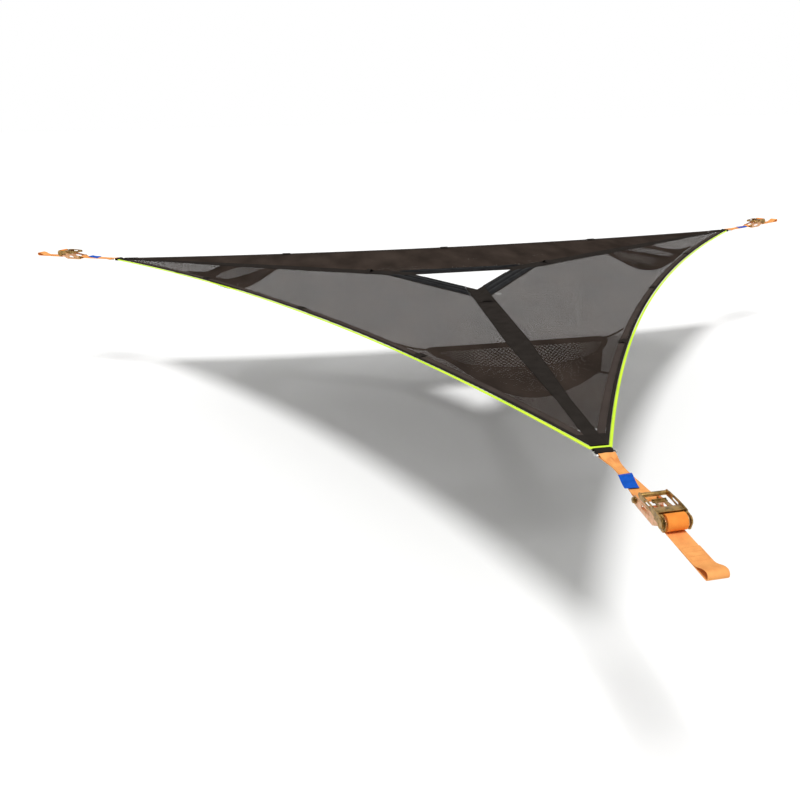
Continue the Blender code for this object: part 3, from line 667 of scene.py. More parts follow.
def finish_zinc(name, base, olive):
    """Steel pressings plated with zinc and passivated yellow: gold that drifts to pink and
    olive in patches a centimetre wide, with the faint grain of the rolled sheet."""
    tree, shader = new_finish(name, Metallic=1.0)
    patches = mottle(tree, 0.012, 3.0)
    tree.links.new(between(tree, patches, olive, base, 0.26, 0.60), shader.inputs["Base Color"])
    grain = mottle(tree, 0.0012, stretch=(1.0, 6.0, 1.0))
    tree.links.new(ranged(tree, grain, 0.3, 0.7, 0.26, 0.42), shader.inputs["Roughness"])
    add_bump(tree, shader, grain, 0.25, 0.0001)


def finish_steel(base):
    """Drawn steel, nickel plated: smooth, with a soft drawn grain."""
    tree, shader = new_finish("nickel_steel", Metallic=1.0)
    grain = mottle(tree, 0.0015)
    tree.links.new(between(tree, grain, shaded(base, 0.85), base), shader.inputs["Base Color"])
    tree.links.new(ranged(tree, grain, 0.3, 0.7, 0.18, 0.30), shader.inputs["Roughness"])


# Weaves: colour and its factor, rib spacing, chevron, depth, roughness, faded patches, painted groove
# shade
WEAVES = {
    "black_polypropylene": ("webbing", 1.0, 0.0020, 0.006, 0.0004, 0.62, 0.05, 0.75),
    "hem_fabric": ("hem", 1.0, 0.0016, 0.002, 0.0002, 0.75, 0.09, 0.75),
    "lime_grosgrain": ("lime", 1.0, 0.0018, 0.004, 0.0003, 0.55, 0.20, 0.88),
    "orange_polyester": ("orange", 1.0, 0.0022, 0.008, 0.0004, 0.55, 0.03, 0.80),
    # The wound turns are the same orange made darker, painted shade for their place inside the ratchet
    "wound_polyester": ("wound", 1.0, 0.0022, 0.008, 0.0004, 0.55, 0.03, 0.80),
    "satin_label": ("label", 1.0, 0.0010, 0.0015, 0.0001, 0.42, 0.02, 0.85),
    "black_thread": ("webbing", 0.80, 0.0008, 0.0010, 0.0001, 0.5, 0.02, 0.75),
    "orange_thread": ("orange", 0.72, 0.0008, 0.0010, 0.0001, 0.5, 0.02, 0.75),
    "lime_thread": ("lime", 0.75, 0.0008, 0.0010, 0.0001, 0.5, 0.02, 0.75),
}


def make_finishes(colours):
    """Every material of the hammock.  Webbing ribs are drawn 2 mm apart, about twice their
    real spacing, so that they show from a step away."""
    base = {key: tuple(getattr(colours, key)) for key in Colours.__annotations__}
    finish_mesh_yarn(base["mesh"])
    finish_netting(base["netting"])
    finish_padded_cloth(base["edging"])
    for name, (key, shade, *weave) in WEAVES.items():
        finish_weave(name, shaded(base[key], shade), *weave)
    finish_zinc("pink_zinc_steel", base["zinc"], base["zinc_gold"])
    finish_zinc("olive_zinc_steel", base["zinc_gold"], base["zinc_olive"])
    finish_steel(base["steel"])


# Stage


def add_camera(stage):
    """The photograph's viewpoint: turned about Z, tipped down, then rolled."""
    data = bpy.data.cameras.new("camera")
    data.lens = stage.lens
    data.sensor_width = 36.0
    data.shift_x = stage.shift
    data.clip_start, data.clip_end = 0.05, 200.0
    camera = bpy.data.objects.new("camera", data)
    camera.location = stage.camera
    look = Euler((math.pi / 2 - stage.pitch, 0.0, stage.yaw), "XYZ").to_matrix()
    camera.rotation_euler = (look @ Euler((0.0, 0.0, stage.roll), "XYZ").to_matrix()).to_euler()
    bpy.context.scene.collection.objects.link(camera)
    bpy.context.scene.camera = camera


def add_lights(stage):
    """One soft sun, 14 degrees wide and nearly overhead, and a pale sky that looks white where it is seen.

    What is glossy reflects it at a strength between the two."""
    lamp = bpy.data.lights.new("studio_sun", "SUN")
    lamp.energy = stage.sun
    lamp.angle = math.radians(14.0)
    sun = bpy.data.objects.new("studio_sun", lamp)
    to_lamp = Vector((-0.128, -0.436, 1.0)).normalized()
    sun.rotation_euler = to_lamp.to_track_quat("Z", "Y").to_euler()
    bpy.context.scene.collection.objects.link(sun)
    world = bpy.data.worlds.new("studio_sky")
    world.use_nodes = True
    tree = world.node_tree
    path = add_node(tree, "ShaderNodeLightPath")
    seen = calculate(tree, "MAXIMUM", path.outputs["Is Camera Ray"], path.outputs["Is Transmission Ray"])
    reflected = 0.6
    glossy = calculate(tree, "MULTIPLY", path.outputs["Is Glossy Ray"], reflected)
    seen = calculate(tree, "MAXIMUM", seen, glossy)
    strength = calculate(tree, "MULTIPLY_ADD", seen, 1.0 - stage.sky, stage.sky)
    tree.links.new(strength, tree.nodes["Background"].inputs["Strength"])
    tree.nodes["Background"].inputs["Color"].default_value = (1.0, 1.0, 1.0, 1.0)
    bpy.context.scene.world = world


def add_floor(stage):
    """A wide pale floor under the hammock, which takes its soft shadow."""
    new_finish("studio_floor", Roughness=1.0, Specular_IOR_Level=0.0, Base_Color=(0.95, 0.95, 0.945, 1.0))
    reach = 80.0
    points = [(reach * x, reach * y, stage.floor_z) for x, y in ((-1, -1), (1, -1), (1, 1), (-1, 1))]
    mesh = bpy.data.meshes.new("studio_floor")
    mesh.from_pydata(points, [], [(0, 1, 2, 3)])
    mesh.materials.append(bpy.data.materials["studio_floor"])
    floor = bpy.data.objects.new("studio_floor", mesh)
    bpy.context.scene.collection.objects.link(floor)


# Floor of the hammock, in an edge's own plan


# A corner's line and the direction across it towards the edge, seen in the edge's plan
SIXTY = math.pi / 3
CORNER_LINE = np.array([math.cos(SIXTY), math.sin(SIXTY), 0.0])
CORNER_SIDE = np.array([math.sin(SIXTY), -math.cos(SIXTY), 0.0])

# Underside of what is sewn on the mesh
ON_MESH = 0.0011


def corner_r(floor):
    """From the middle to the flat across a corner."""
    side = floor.edge_length + 2 * floor.corner_flat
    return side / math.sqrt(3) - floor.corner_flat * math.sqrt(3) / 2


def edge_line(floor, y, inset):
    """The concave edge moved in by inset along its normal.

    The edge is a parabola: x falls short of the straight side by the sagitta in the middle
    and meets it at either end."""
    half = floor.edge_length / 2
    middle = (floor.edge_length + 2 * floor.corner_flat) / (2 * math.sqrt(3))
    x = middle - floor.sagitta * (1 - (y / half) ** 2)
    slope = 2 * floor.sagitta * y / half**2
    size = np.hypot(1.0, slope)
    return np.stack([x - inset / size, y + inset * slope / size, 0 * y], axis=-1)


def edge_across(floor, y):
    """The direction from the edge inwards."""
    slope = 2 * floor.sagitta * y / (floor.edge_length / 2) ** 2
    return unit(np.stack([-1 + 0 * y, slope, 0 * y], axis=-1))


def edge_reach(floor, inset, limit):
    """How far in y the inset edge runs before it passes limit towards the corner."""
    y = np.linspace(0.0, floor.edge_length / 2 + 0.1, 4000)
    return float(np.interp(limit, edge_line(floor, y, inset) @ CORNER_LINE, y))


def corner_points(side, along, across):
    """Points by distance along a corner's line, and across it towards the edge."""
    along, across = np.broadcast_arrays(np.asarray(along, float), across)
    points = along[..., None] * CORNER_LINE + across[..., None] * CORNER_SIDE
    return points * [1, side, 1]


def corner_half(floor, along, inset):
    """Half width of the corner at a distance along its line, for an edge moved in by inset."""
    y = np.linspace(0.0, floor.edge_length / 2 + 0.05, 2000)
    line = edge_line(floor, y, inset)
    return np.interp(along, line @ CORNER_LINE, line @ CORNER_SIDE)


def panel_outline(floor):
    """One third of the floor, a little under the bands, the hem and the hatch edging."""
    tuck, seam, end_r = 0.0125, 0.004, 2.250
    reach = edge_reach(floor, tuck, end_r)
    outer = edge_line(floor, np.linspace(-reach, reach, 81), tuck)
    inner_r = 2 * (floor.hatch + tuck)
    ends = [
        corner_points(side, along, seam)
        for side, along in ((1, end_r), (1, inner_r), (-1, inner_r), (-1, end_r))
    ]
    return np.vstack([outer, ends])[:, :2]


def slack_waves(floor, u, v):
    """Soft waves of a panel in its edge's plan: three crossing sines that die out towards
    its seams.  Their heights stand as 1, 0.7 and 0.5, and add up to the slack."""
    half_edge, fade_width = 2.05, 0.16
    edge = edge_line(floor, np.clip(v, -half_edge, half_edge), floor.hem)[..., 0] - u
    seam = u * math.sin(SIXTY) - abs(v) * math.cos(SIXTY) - floor.band
    hatch = u - floor.hatch - floor.edging
    fade = np.clip(np.minimum(np.minimum(edge, seam), hatch) / fade_width, 0, 1) ** 1.5
    waves = (
        np.sin(9.0 * u + 4.0 * np.sin(1.9 * v + 0.4))
        + 0.7 * np.sin(16.0 * v + 3.0 * np.sin(3.1 * u))
        + 0.5 * np.sin(31.0 * (0.6 * u + 0.8 * v) + 2.0 * np.sin(2.2 * v))
    )
    return floor.slack * fade * waves / 2.2


def spans(outline, lines, axis):
    """Where lines of one fixed coordinate run inside a closed outline.

    A line crosses the sides an even number of times, and its crossings, sorted, bound the
    stretches inside it in pairs.  Stretches under the shortest yarn are left out."""
    outside, shortest, most = 1e6, 0.004, 4
    a, b = outline, np.roll(outline, -1, axis=0)
    crosses = (a[None, :, axis] <= lines[:, None]) != (b[None, :, axis] <= lines[:, None])
    step = np.where(b[:, axis] == a[:, axis], 1.0, b[:, axis] - a[:, axis])
    share = (lines[:, None] - a[:, axis]) / step
    other = a[:, 1 - axis] + share * (b[:, 1 - axis] - a[:, 1 - axis])
    other = np.sort(np.where(crosses, other, outside), axis=1)[:, : 2 * most]
    start, end = other[:, ::2], other[:, 1::2]
    real = (end < outside) & (end - start > shortest)
    return np.repeat(lines[:, None], most, axis=1)[real], start[real], end[real]


def yarns(floor, outline, axis, level, thick):
    """All the yarns of a panel that run one way, each a chain of four-sided prisms.

    The longer a yarn, the more stations it has."""
    low, high = outline.min(axis=0)[axis], outline.max(axis=0)[axis]
    first = math.ceil(low / floor.yarn_pitch)
    lines = floor.yarn_pitch * np.arange(first, high / floor.yarn_pitch)
    fixed, start, end = spans(outline, lines, axis)
    parts = []
    reach = end - start
    for least, most, stations in ((0.0, 0.3, 4), (0.3, 0.9, 8), (0.9, 2.0, 16), (2.0, 9.0, 34)):
        chosen = (reach >= least) & (reach < most)
        if not chosen.any():
            continue
        share = np.linspace(0, 1, stations)
        run = start[chosen, None] + reach[chosen, None] * share
        line = np.broadcast_to(fixed[chosen, None], run.shape)
        x, y = (line, run) if axis == 0 else (run, line)
        z = level + slack_waves(floor, x, y)
        centre = np.stack([x, y, z], axis=-1)
        side = np.eye(3)[axis] * floor.yarn_width / 2
        up = np.eye(3)[2] * thick / 2
        parts.append(bundle(centre[:, :, None] + np.stack([side, up, -side, -up])))
    return parts


def floor_mesh(floor, edge):
    """One panel of the mesh: two layers of yarns that cross at right angles.

    The ribs along the edge are taller than the yarns across them.  So light passes the panels
    that are seen along their ribs, and the one that is seen across them looks closed.  Each
    layer lies 0.21 of both heights off the middle, so they bite into each other."""
    outline = panel_outline(floor)
    lift = 0.21 * (floor.rib_height + floor.filling_height)
    parts = yarns(floor, outline, 0, -lift, floor.rib_height)
    parts += yarns(floor, outline, 1, lift, floor.filling_height)
    piece = add_piece(f"mesh_panel_{edge}", moved(parts, on_edge(edge)), ["polyester_mesh"], weld=False)
    dress(piece, BODY, "black_mesh", f"floor_panel_{edge}")


def hem(floor, edge):
    """The hem: a dark outer tape, a paler inner strip, their stitches, and webbing patches.

    The tapes ripple along the edge by 0.2 mm, as a sine whose phase drifts with another."""
    outer_limit = corner_r(floor) - floor.binding - CLEARANCE
    parts = []
    for inner, outer, limit, finish, thick in (
        (floor.hem_tape, floor.binding + CLEARANCE, outer_limit, 0, 0.0022),
        (floor.hem, floor.hem_tape + CLEARANCE, floor.patch_r + 0.030, 1, 0.0016),
    ):
        middle = (inner + outer) / 2
        reach = edge_reach(floor, middle, limit)
        y = np.linspace(-reach, reach, 261)
        centre = edge_line(floor, y, middle)
        centre[:, 2] = ON_MESH + thick / 2 + 0.0002 * np.sin(70 * y + 3 * np.sin(11 * y))
        parts.append(tape(centre, edge_across(floor, y), (inner - outer) / 2, thick, finish, 4))
    seam_end = 1.86
    y = np.linspace(-seam_end, seam_end, 161)
    for inset, top in ((0.0135, 0.0034), (0.0195, 0.0034), (0.0265, 0.0028), (0.0445, 0.0028)):
        row = edge_line(floor, y, inset)
        row[:, 2] = top
        parts.append(stitches(row, 0.0075, 0.0052, finish=2))
    for at in hem_patches():
        parts += hem_patch(floor, at)
    names = ["black_polypropylene", "hem_fabric", "black_thread"]
    piece = add_piece(f"hem_{edge}", moved(parts, on_edge(edge)), names)
    dress(piece, BODY, "black_webbing", f"edge_hem_{edge}")


def hem_patches():
    """Where the webbing patches cross a hem: its middle, and beside either corner's net."""
    out, off_corner = 1.475, 16.2
    beside = out * math.sin(math.radians(60.0 - off_corner))
    return (-beside, 0.0, beside)


def hem_patch(floor, at):
    """A short webbing loop sewn across the hem, arched as a squared sine between its ends."""
    half, thick, low, rise = 0.0235, 0.0018, 0.0046, 0.0045
    share = np.linspace(0, 1, 17)
    y = np.full(17, at)
    centre = edge_line(floor, y, 0.0) + edge_across(floor, y) * (0.0112 + 0.040 * share)[:, None]
    centre[:, 2] = low + rise * np.sin(math.pi * np.clip((share - 0.2) / 0.6, 0, 1)) ** 2
    side = unit(np.cross(edge_across(floor, y), UP))
    parts = [tape(centre, side, half, thick)]
    for end in (1, 15):
        ends = centre[end] + side[0] * np.array([[-0.021], [0.021]]) + np.array([0, 0, 0.0010])
        parts.append(stitches(ends, 0.0036, 0.0026, finish=2))
    return parts


def mitred(path):
    """Directions across a level path and how much wider it is there, at its corners."""
    step = unit(np.diff(path, axis=0))
    normal = np.stack([-step[:, 1], step[:, 0], 0 * step[:, 0]], axis=1)
    first, last = np.vstack([normal[:1], normal]), np.vstack([normal, normal[-1:]])
    across = unit(first + last)
    return across, 1 / np.einsum("ij,ij->i", across, first)


def binding(floor, edge):
    """The bright binding: grosgrain folded over the edge, and across the flat at its start.

    It is 4 mm thick, and 2 mm more at its corners.  That dies out as a bell 35 cm wide."""
    middle = floor.binding / 2
    limit = corner_r(floor) - middle
    reach = edge_reach(floor, middle, limit)
    y = np.linspace(-reach, reach, 301)
    path = edge_line(floor, y, middle)
    half = float(corner_half(floor, limit, middle))
    flat = corner_points(-1, limit, np.linspace(-half, half, 9)[:-1])
    path = np.vstack([flat, path])
    path[:, 2] = -0.0012
    across, wider = mitred(path)
    to_corner = reach - np.abs(path[:, 1])
    thick = 0.0040 + 0.0020 * np.exp(-((to_corner / 0.35) ** 2))
    parts = [tape(path, across, middle * wider, thick, 0, 3)]
    row = edge_line(floor, y, floor.binding * 0.78)
    row[:, 2] = 0.0019
    parts.append(stitches(row, 0.0075, 0.0050))
    piece = add_piece(f"binding_{edge}", moved(parts, on_edge(edge)), ["lime_grosgrain", "lime_thread"])
    dress(piece, BODY, "lime_binding", f"edge_binding_{edge}")


# Bands, patches and loops, in a corner's own plan


def band_half(floor, along):
    """Half width of a radial band, which narrows evenly from 1.3 m to 2 m out."""
    return np.interp(along, [1.30, 2.00], [floor.band, floor.band_tip])


def level_tape(along, half, low, thick):
    """Webbing laid along the corner's line, with its underside at low."""
    return tape(row_at(along, 0.0, low + thick / 2), ACROSS, half, thick, columns=10)


def radial_band(floor, corner):
    """Wide webbing from the hatch to the corner patch, turned over at the hatch and sewn.

    Its inner end is cut to the hatch's corner: it starts the further out the nearer it is
    to the corner's own line.  The end of the turned-over ply falls back at its sides by 30 mm,
    as the fourth power of the distance across."""
    start, fold_end, end = 2 * floor.hatch, 0.575, floor.patch_r + 0.02
    one_ply, two_plies = ON_MESH + 0.0019, ON_MESH + 0.0036
    along = np.concatenate([np.linspace(start, 0.7, 30), np.linspace(0.72, end, 110)])
    band = level_tape(along, band_half(floor, along), ON_MESH, 0.0018)
    doubled = level_tape(np.linspace(start + 0.004, fold_end, 24), floor.band - 0.002, one_ply, 0.0016)
    for part in (band, doubled):
        notch_to_hatch(part["points"], start)
    fold = doubled["points"]
    near_end = np.clip((fold[:, 0] - 0.535) / 0.04, 0, 1)
    fold[:, 0] -= 0.030 * near_end * (np.abs(fold[:, 1]) / floor.band) ** 4
    parts = [band, doubled]
    for share in (-0.93, 0.93):
        run = np.linspace(start + 0.03, floor.patch_r - 0.01, 120)
        top = np.where(run < 0.57, two_plies, one_ply)
        parts.append(stitches(row_at(run, share * band_half(floor, run), top), 0.0070, 0.0050))
    bend = np.linspace(-1, 1, 31)
    for inset in (0.006, 0.014, 0.160):
        curve = fold_end - inset - 0.028 * bend**4
        parts.append(stitches(row_at(curve, bend * floor.band * 0.9, two_plies), 0.0055, 0.0040))
    black_webbing(f"radial_webbing_{corner}", parts, on_corner(corner), f"radial_band_{corner}")


def notch_to_hatch(points, start):
    """Slides the inner end of a band back along its sides, to the hatch's corner.

    The slide dies out over 25 cm."""
    fade = np.clip(1 - (points[:, 0] - start) / 0.25, 0, 1)
    points[:, 0] -= math.sqrt(3) * np.abs(points[:, 1]) * fade


def corner_patch(floor, corner):
    """The doubled webbing that covers a corner, with a crossed box of stitches."""
    low, top = 0.0034, 0.0052
    end = corner_r(floor) - floor.binding - 0.0006
    along = np.linspace(floor.patch_r, end, 40)
    half = corner_half(floor, along, floor.binding + 0.0008)
    parts = [level_tape(along, half, low, 0.0016)]
    x = np.array([floor.patch_r + 0.008, end - 0.008])
    wide = half.min() - 0.006
    box = row_at(x[[0, 1, 1, 0, 0]], [-wide, -wide, wide, wide, -wide], top)
    cross = [row_at(x, [-wide, wide], top), row_at(x, [wide, -wide], top)]
    parts += [stitches(row, 0.0045, 0.0034) for row in (box, *cross)]
    black_webbing(f"corner_patch_{corner}", parts, on_corner(corner))


def gear_loop(floor, corner):
    """A loop of narrow webbing over the band, arched as a squared cosine, its feet sewn down."""
    base, rise, span, foot, thick = 0.0035, 0.015, 0.030, 0.012, 0.0018
    y = np.linspace(-span - foot, span + foot, 61)
    arch = np.where(np.abs(y) < span, np.cos(math.pi * y / (2 * span)) ** 2, 0.0)
    path = row_at(floor.gear_loop_r, y, base + thick / 2 + rise * arch)
    parts = [tape(path, (-1.0, 0.0, 0.0), 0.0125, thick)]
    for side in (-1, 1):
        for at in (span + 0.003, span + foot - 0.002):
            row = row_at(floor.gear_loop_r + np.array([-0.011, 0.011]), side * at, base + thick + 0.0002)
            parts.append(stitches(row, 0.0032, 0.0024))
    black_webbing(f"gear_webbing_{corner}", parts, on_corner(corner), f"gear_loop_{corner}")


# Padded edging of the hatch, in an edge's own plan


# Where its seams run, as shares of its width
EDGING_SEAMS = (0.30, 0.64)


def edging_end(floor, x):
    """Half length of the edging at x, with its ends cut along the bands."""
    return (x * math.sin(SIXTY) - floor.band - 2 * CLEARANCE) / math.cos(SIXTY)


def edging_shell(floor):
    """A closed shell of even faces: a crowned, softly folded top over a flat underside.

    The crown is the root of a sine across, and dies out over the last 3% at either end.  Two
    sines along it, by a tenth and by a sixteenth of its height, are its folds."""
    share, run = np.linspace(0, 1, 27), np.linspace(-1, 1, 141)
    x = (floor.hatch + floor.edging * share)[None]
    y = run[:, None] * edging_end(floor, x)
    crown = np.sin(math.pi * share) ** 0.5 * np.clip((1 - np.abs(run[:, None])) / 0.03, 0, 1) ** 0.5
    folds = 0.10 * np.sin(23 * y + 5 * np.sin(3 * y)) + 0.06 * np.sin(61 * y + 9 * share)
    top = np.stack([x + 0 * y, y, 0.0016 + (floor.loft - 0.002) * crown * (0.9 + folds)], axis=-1)
    under = top * [1, 1, 0] + [0, 0, 0.0014]
    points = np.concatenate([top, under[:, ::-1], top[:, :1]], axis=1)
    ends = points[[0, -1]] * [1, 1, 0] + [0, 0, 0.0015]
    return sheet(np.concatenate([ends[:1], points, ends[1:]]))


def read_points(piece):
    """The mesh's points, as rows of an array."""
    points = np.zeros(len(piece.data.vertices) * 3, np.float32)
    piece.data.vertices.foreach_get("co", points)
    return points.reshape(-1, 3)


def inflate(piece, cap, free):
    """Cloth pressed out from inside without gravity.

    A point moves no further than cap, times its share of freedom, which is none at the seams."""
    scene, frames = bpy.context.scene, 20
    rest = read_points(piece)
    cloth = piece.modifiers.new("cloth", "CLOTH")
    settings = cloth.settings
    settings.quality = 4
    settings.mass = 0.15
    settings.tension_stiffness = settings.compression_stiffness = 12
    settings.bending_stiffness = 0.3
    settings.use_pressure = True
    settings.uniform_pressure_force = 4.0
    settings.effector_weights.gravity = 0.0
    cloth.point_cache.frame_start, cloth.point_cache.frame_end = 1, frames
    for step in range(1, frames + 1):
        scene.frame_set(step)
    graph = bpy.context.evaluated_depsgraph_get()
    piece.data = bpy.data.meshes.new_from_object(piece.evaluated_get(graph))
    piece.modifiers.clear()
    scene.frame_set(1)
    shift = read_points(piece) - rest
    size = np.linalg.norm(shift, axis=1, keepdims=True)
    shift *= free[:, None] * np.minimum(1.0, cap / np.maximum(size, 1e-9))
    piece.data.vertices.foreach_set("co", (rest + shift).ravel())


def hatch_edging(floor, edge):
    """Soft edging on one side of the hatch, sewn down along two channels and both sides.

    A channel takes off three quarters of the height over it, as a bell across the seam."""
    sewn, lowest, highest = 0.0020, 0.0012, 0.0130
    piece = add_piece(f"hatch_edging_{edge}", [edging_shell(floor)], ["oxford_nylon"])
    points = read_points(piece)
    share = (points[:, 0] - floor.hatch) / floor.edging
    to_end = edging_end(floor, points[:, 0]) - np.abs(points[:, 1])
    free = np.clip(np.minimum(np.minimum(share, 1 - share) / 0.12, to_end / 0.015), 0, 1)
    inflate(piece, 0.005, free)
    points = read_points(piece)
    for at in EDGING_SEAMS:
        channel = 1 - 0.75 * np.exp(-(((share - at) / 0.05) ** 2))
        over = points[:, 2] - sewn
        points[:, 2] = np.where(over > 0.0002, sewn + over * channel, points[:, 2])
    points[:, 2] = np.clip(points[:, 2], lowest, highest)
    piece.data.vertices.foreach_set("co", turned(points, EDGES[edge]).astype(np.float32).ravel())
    smooth = piece.modifiers.new("smooth", "SUBSURF")
    smooth.levels = smooth.render_levels = 1
    piece.data.shade_smooth()
    dress(piece, BODY, "black_webbing", f"hatch_edge_{edge}")
    edging_trim(floor, edge)


def edging_trim(floor, edge):
    """The tape along both sides of an edging, and the stitches of its two seams."""
    run = np.linspace(-1, 1, 41)
    parts = []
    for share, half in ((0.045, 0.0075), (0.955, 0.0070)):
        x = floor.hatch + floor.edging * share
        path = row_at(x, 0.985 * run * edging_end(floor, x), 0.0030)
        parts.append(tape(path, (-1.0, 0.0, 0.0), half, 0.0030))
    for share in EDGING_SEAMS:
        x = floor.hatch + floor.edging * share
        row = row_at(x, 0.97 * run * edging_end(floor, x), 0.0042)
        parts.append(stitches(row, 0.0060, 0.0044))
    black_webbing(f"edging_tape_{edge}", parts, on_edge(edge))


# Storage nets, in a corner's own plan


# A net's corners under the mesh, its fold and its rim under its corners, and its layers apart
NET_HANG = 0.013
FOLD_DROP = 0.050
RIM_DROP = 0.018
LAYER_GAP = 0.007

# Where the ties from the taut band and the fold meet the hems, along the corner's line and across
TIE_HEMS = ((1.200, 0.478), (1.752, 0.256))


def net_shape(nets, corner):
    """How deep a pocket hangs, and how much shallower it is on one side."""
    sag = {"front": nets.sag_front, "right": nets.sag_right, "left": nets.sag_left}[corner]
    return sag, nets.lean_left if corner == "left" else 0.0


def bowl(shape, u):
    """Depth of a pocket across its width: it dies out as 1 - u squared towards its sides."""
    return (1 - np.clip(u, -1, 1) ** 2) * (1 - shape[1] * np.clip(u, 0, 1))


def lower_layer(nets, shape, along, lateral):
    """Height of the lower layer over its plan, and whether it reaches there.

    v runs from the taut band to the fold and u across, and the layer hangs as 4 v (1 - v)
    times its sag.  v depends on the fold's bow at u, and u on the width at v, so both are
    found step by step."""
    v = np.clip((along - nets.top) / (nets.fold - nets.top), 0, 1)
    for _ in range(6):
        half = nets.top_half + (nets.fold_half - nets.top_half) * v
        u = lateral / half
        reach = nets.fold - nets.top + nets.fold_bow * (1 - np.clip(u, -1, 1) ** 2)
        v = (along - nets.top) / reach
    inside = (v >= 0) & (v <= 1) & (np.abs(u) <= 1)
    return -NET_HANG - (4 * shape[0] * v * (1 - v) + FOLD_DROP * v * v) * bowl(shape, u), inside


def upper_layer(nets, shape, along, lateral):
    """Height of the upper layer, straight from the fold back to the slack rim.

    v runs from the fold to the rim, and is found step by step, as in the lower layer."""
    v = np.full(np.shape(along), 0.5)
    for _ in range(8):
        half = nets.fold_half + (nets.top_half - nets.fold_half) * np.clip(v, 0, 1)
        u = np.clip(lateral / half, -1, 1)
        bow = np.sqrt(1 - u * u)
        fold = nets.fold + nets.fold_bow * (1 - u * u)
        rim = nets.top + nets.rim_bow * bow
        v = 0.5 * v + 0.5 * (fold - along) / (fold - rim)
    inside = (v >= 0) & (v <= 1) & (np.abs(lateral) <= half)
    fold_z = -NET_HANG - FOLD_DROP * bowl(shape, u)
    rim_z = -NET_HANG - RIM_DROP * bow
    return fold_z + (rim_z - fold_z) * np.clip(v, 0, 1) + LAYER_GAP, inside


def layer_area(nets, height):
    """Area of a net's layer over a fine plan: the sum of the root of 1 plus both slopes squared,
    times the cell."""
    step = 0.004
    along = np.arange(nets.top, nets.fold + nets.fold_bow, step)
    lateral = np.arange(-nets.top_half, nets.top_half, step)
    z, inside = height(*np.meshgrid(along, lateral, indexing="ij"))
    slope = np.gradient(z, step)
    return float((np.sqrt(1 + slope[0] ** 2 + slope[1] ** 2) * inside).sum() * step**2)


def strands(nets, height, slant):
    """Netting over a surface: two families of slanting strands that cross in diamonds.

    A strand swings to and fro by 0.14 of the pitch, which draws the knit's zigzag."""
    step, reach, parts = 0.0165, 0.75, []
    for side in (-1, 1):
        a = math.radians(side * slant)
        ahead, normal = np.array([math.cos(a), math.sin(a)]), np.array([-math.sin(a), math.cos(a)])
        offsets = np.arange(-reach, reach, nets.pitch)
        runs = np.arange(-reach, reach, step)
        wobble = 0.14 * nets.pitch * np.sin(np.arange(len(runs)) * 2.4)[None]
        middle = np.array([nets.top + 0.22, 0.0])
        plan = middle + runs[None, :, None] * ahead + (offsets[:, None] + wobble)[..., None] * normal
        z, inside = height(plan[..., 0], plan[..., 1])
        centre = np.concatenate([plan, z[..., None]], axis=-1)
        centre[..., 2] += side * nets.strand * 0.5
        turn = np.radians([90.0, 210.0, 330.0])[:, None]
        corner = nets.strand * (np.cos(turn) * np.append(normal, 0.0) + np.sin(turn) * UP)
        parts.append(bundle(centre[:, :, None] + corner, inside))
    return parts


def net_border(nets, shape):
    """The taut band, the slack rim, the fold and the two short sides, as narrow tapes.

    The rim bows as half an ellipse, so its points crowd towards its ends as a sine."""
    u = np.sin(math.pi * np.linspace(-1, 1, 61) / 2)
    bow = np.sqrt(1 - u * u)
    taut = row_at(nets.top, nets.top_half * u, -NET_HANG)
    rim_z = LAYER_GAP - NET_HANG - RIM_DROP * bow
    rim = row_at(nets.top + nets.rim_bow * bow, nets.top_half * u, rim_z)
    rim[[0, -1], 2] = -NET_HANG
    fold_z = -NET_HANG - FOLD_DROP * bowl(shape, u) + LAYER_GAP / 2
    fold = row_at(nets.fold + nets.fold_bow * (1 - u * u), nets.fold_half * u, fold_z)
    rim_side, fold_side = (unit(np.cross(path_ahead(path), UP)) for path in (rim, fold))
    parts = [
        tape(taut, (-0.5, 0.0, 0.85), 0.0105, 0.0022),
        tape(rim, rim_side + (0.0, 0.0, 0.5), 0.0120, 0.0032),
        tape(fold, fold_side, 0.0060, 0.0034),
    ]
    share = np.linspace(0, 1, 21)[:, None]
    for side in (-1, 1):
        start = np.array([nets.top, side * nets.top_half, -NET_HANG])
        end = np.array([nets.fold, side * nets.fold_half, -NET_HANG])
        parts.append(tape(start + (end - start) * share, (0.28, 0.95, 0.0), 0.0045, 0.0026, columns=3))
    return parts


def net_ties(nets):
    """Four cords from the net's corners to the hems: two strands twisted round each other,
    with a knot at either end."""
    parts = []
    net_corners = ((nets.top, nets.top_half), (nets.fold, nets.fold_half))
    hem_z, slack, twist, swing, strand = -0.0036, 0.006, 0.020, 0.0021, 0.0023
    for side in (-1, 1):
        for (along, lateral), (hem_along, hem_lateral) in zip(net_corners, TIE_HEMS):
            start = np.array([along, side * (lateral - 0.004), -NET_HANG])
            end = np.array([hem_along, side * hem_lateral, hem_z])
            share = np.linspace(0, 1, 49)
            run = start + (end - start) * share[:, None]
            run[:, 2] -= slack * np.sin(math.pi * share)
            ahead = unit(end - start)
            across = unit(np.cross(ahead, UP))
            up = np.cross(across, ahead)
            turn = share[:, None] * np.linalg.norm(end - start) / twist * 2 * math.pi
            for phase in (0.0, math.pi):
                aside = np.cos(turn + phase) * across + np.sin(turn + phase) * up
                parts.append(tube(run + swing * aside, strand, 6))
            parts += [knot(point, ahead) for point in (run[1], run[-3])]
    return parts


def knot(centre, ahead):
    """A tight overhand knot: a cord along a trefoil, drawn small.

    The trefoil goes sideways as sin t + 2 sin 2t, up as cos t - 2 cos 2t, ahead as -sin 3t."""
    t = np.linspace(0, 2 * math.pi, 37)
    across = unit(np.cross(ahead, UP))
    up = np.cross(across, ahead)
    x, y, z = np.sin(t) + 2 * np.sin(2 * t), np.cos(t) - 2 * np.cos(2 * t), -np.sin(3 * t)
    path = centre + 0.0013 * (x[:, None] * across + y[:, None] * up + 1.4 * z[:, None] * ahead)
    return tube(path, 0.0014, 6, closed=True, facing=ahead)


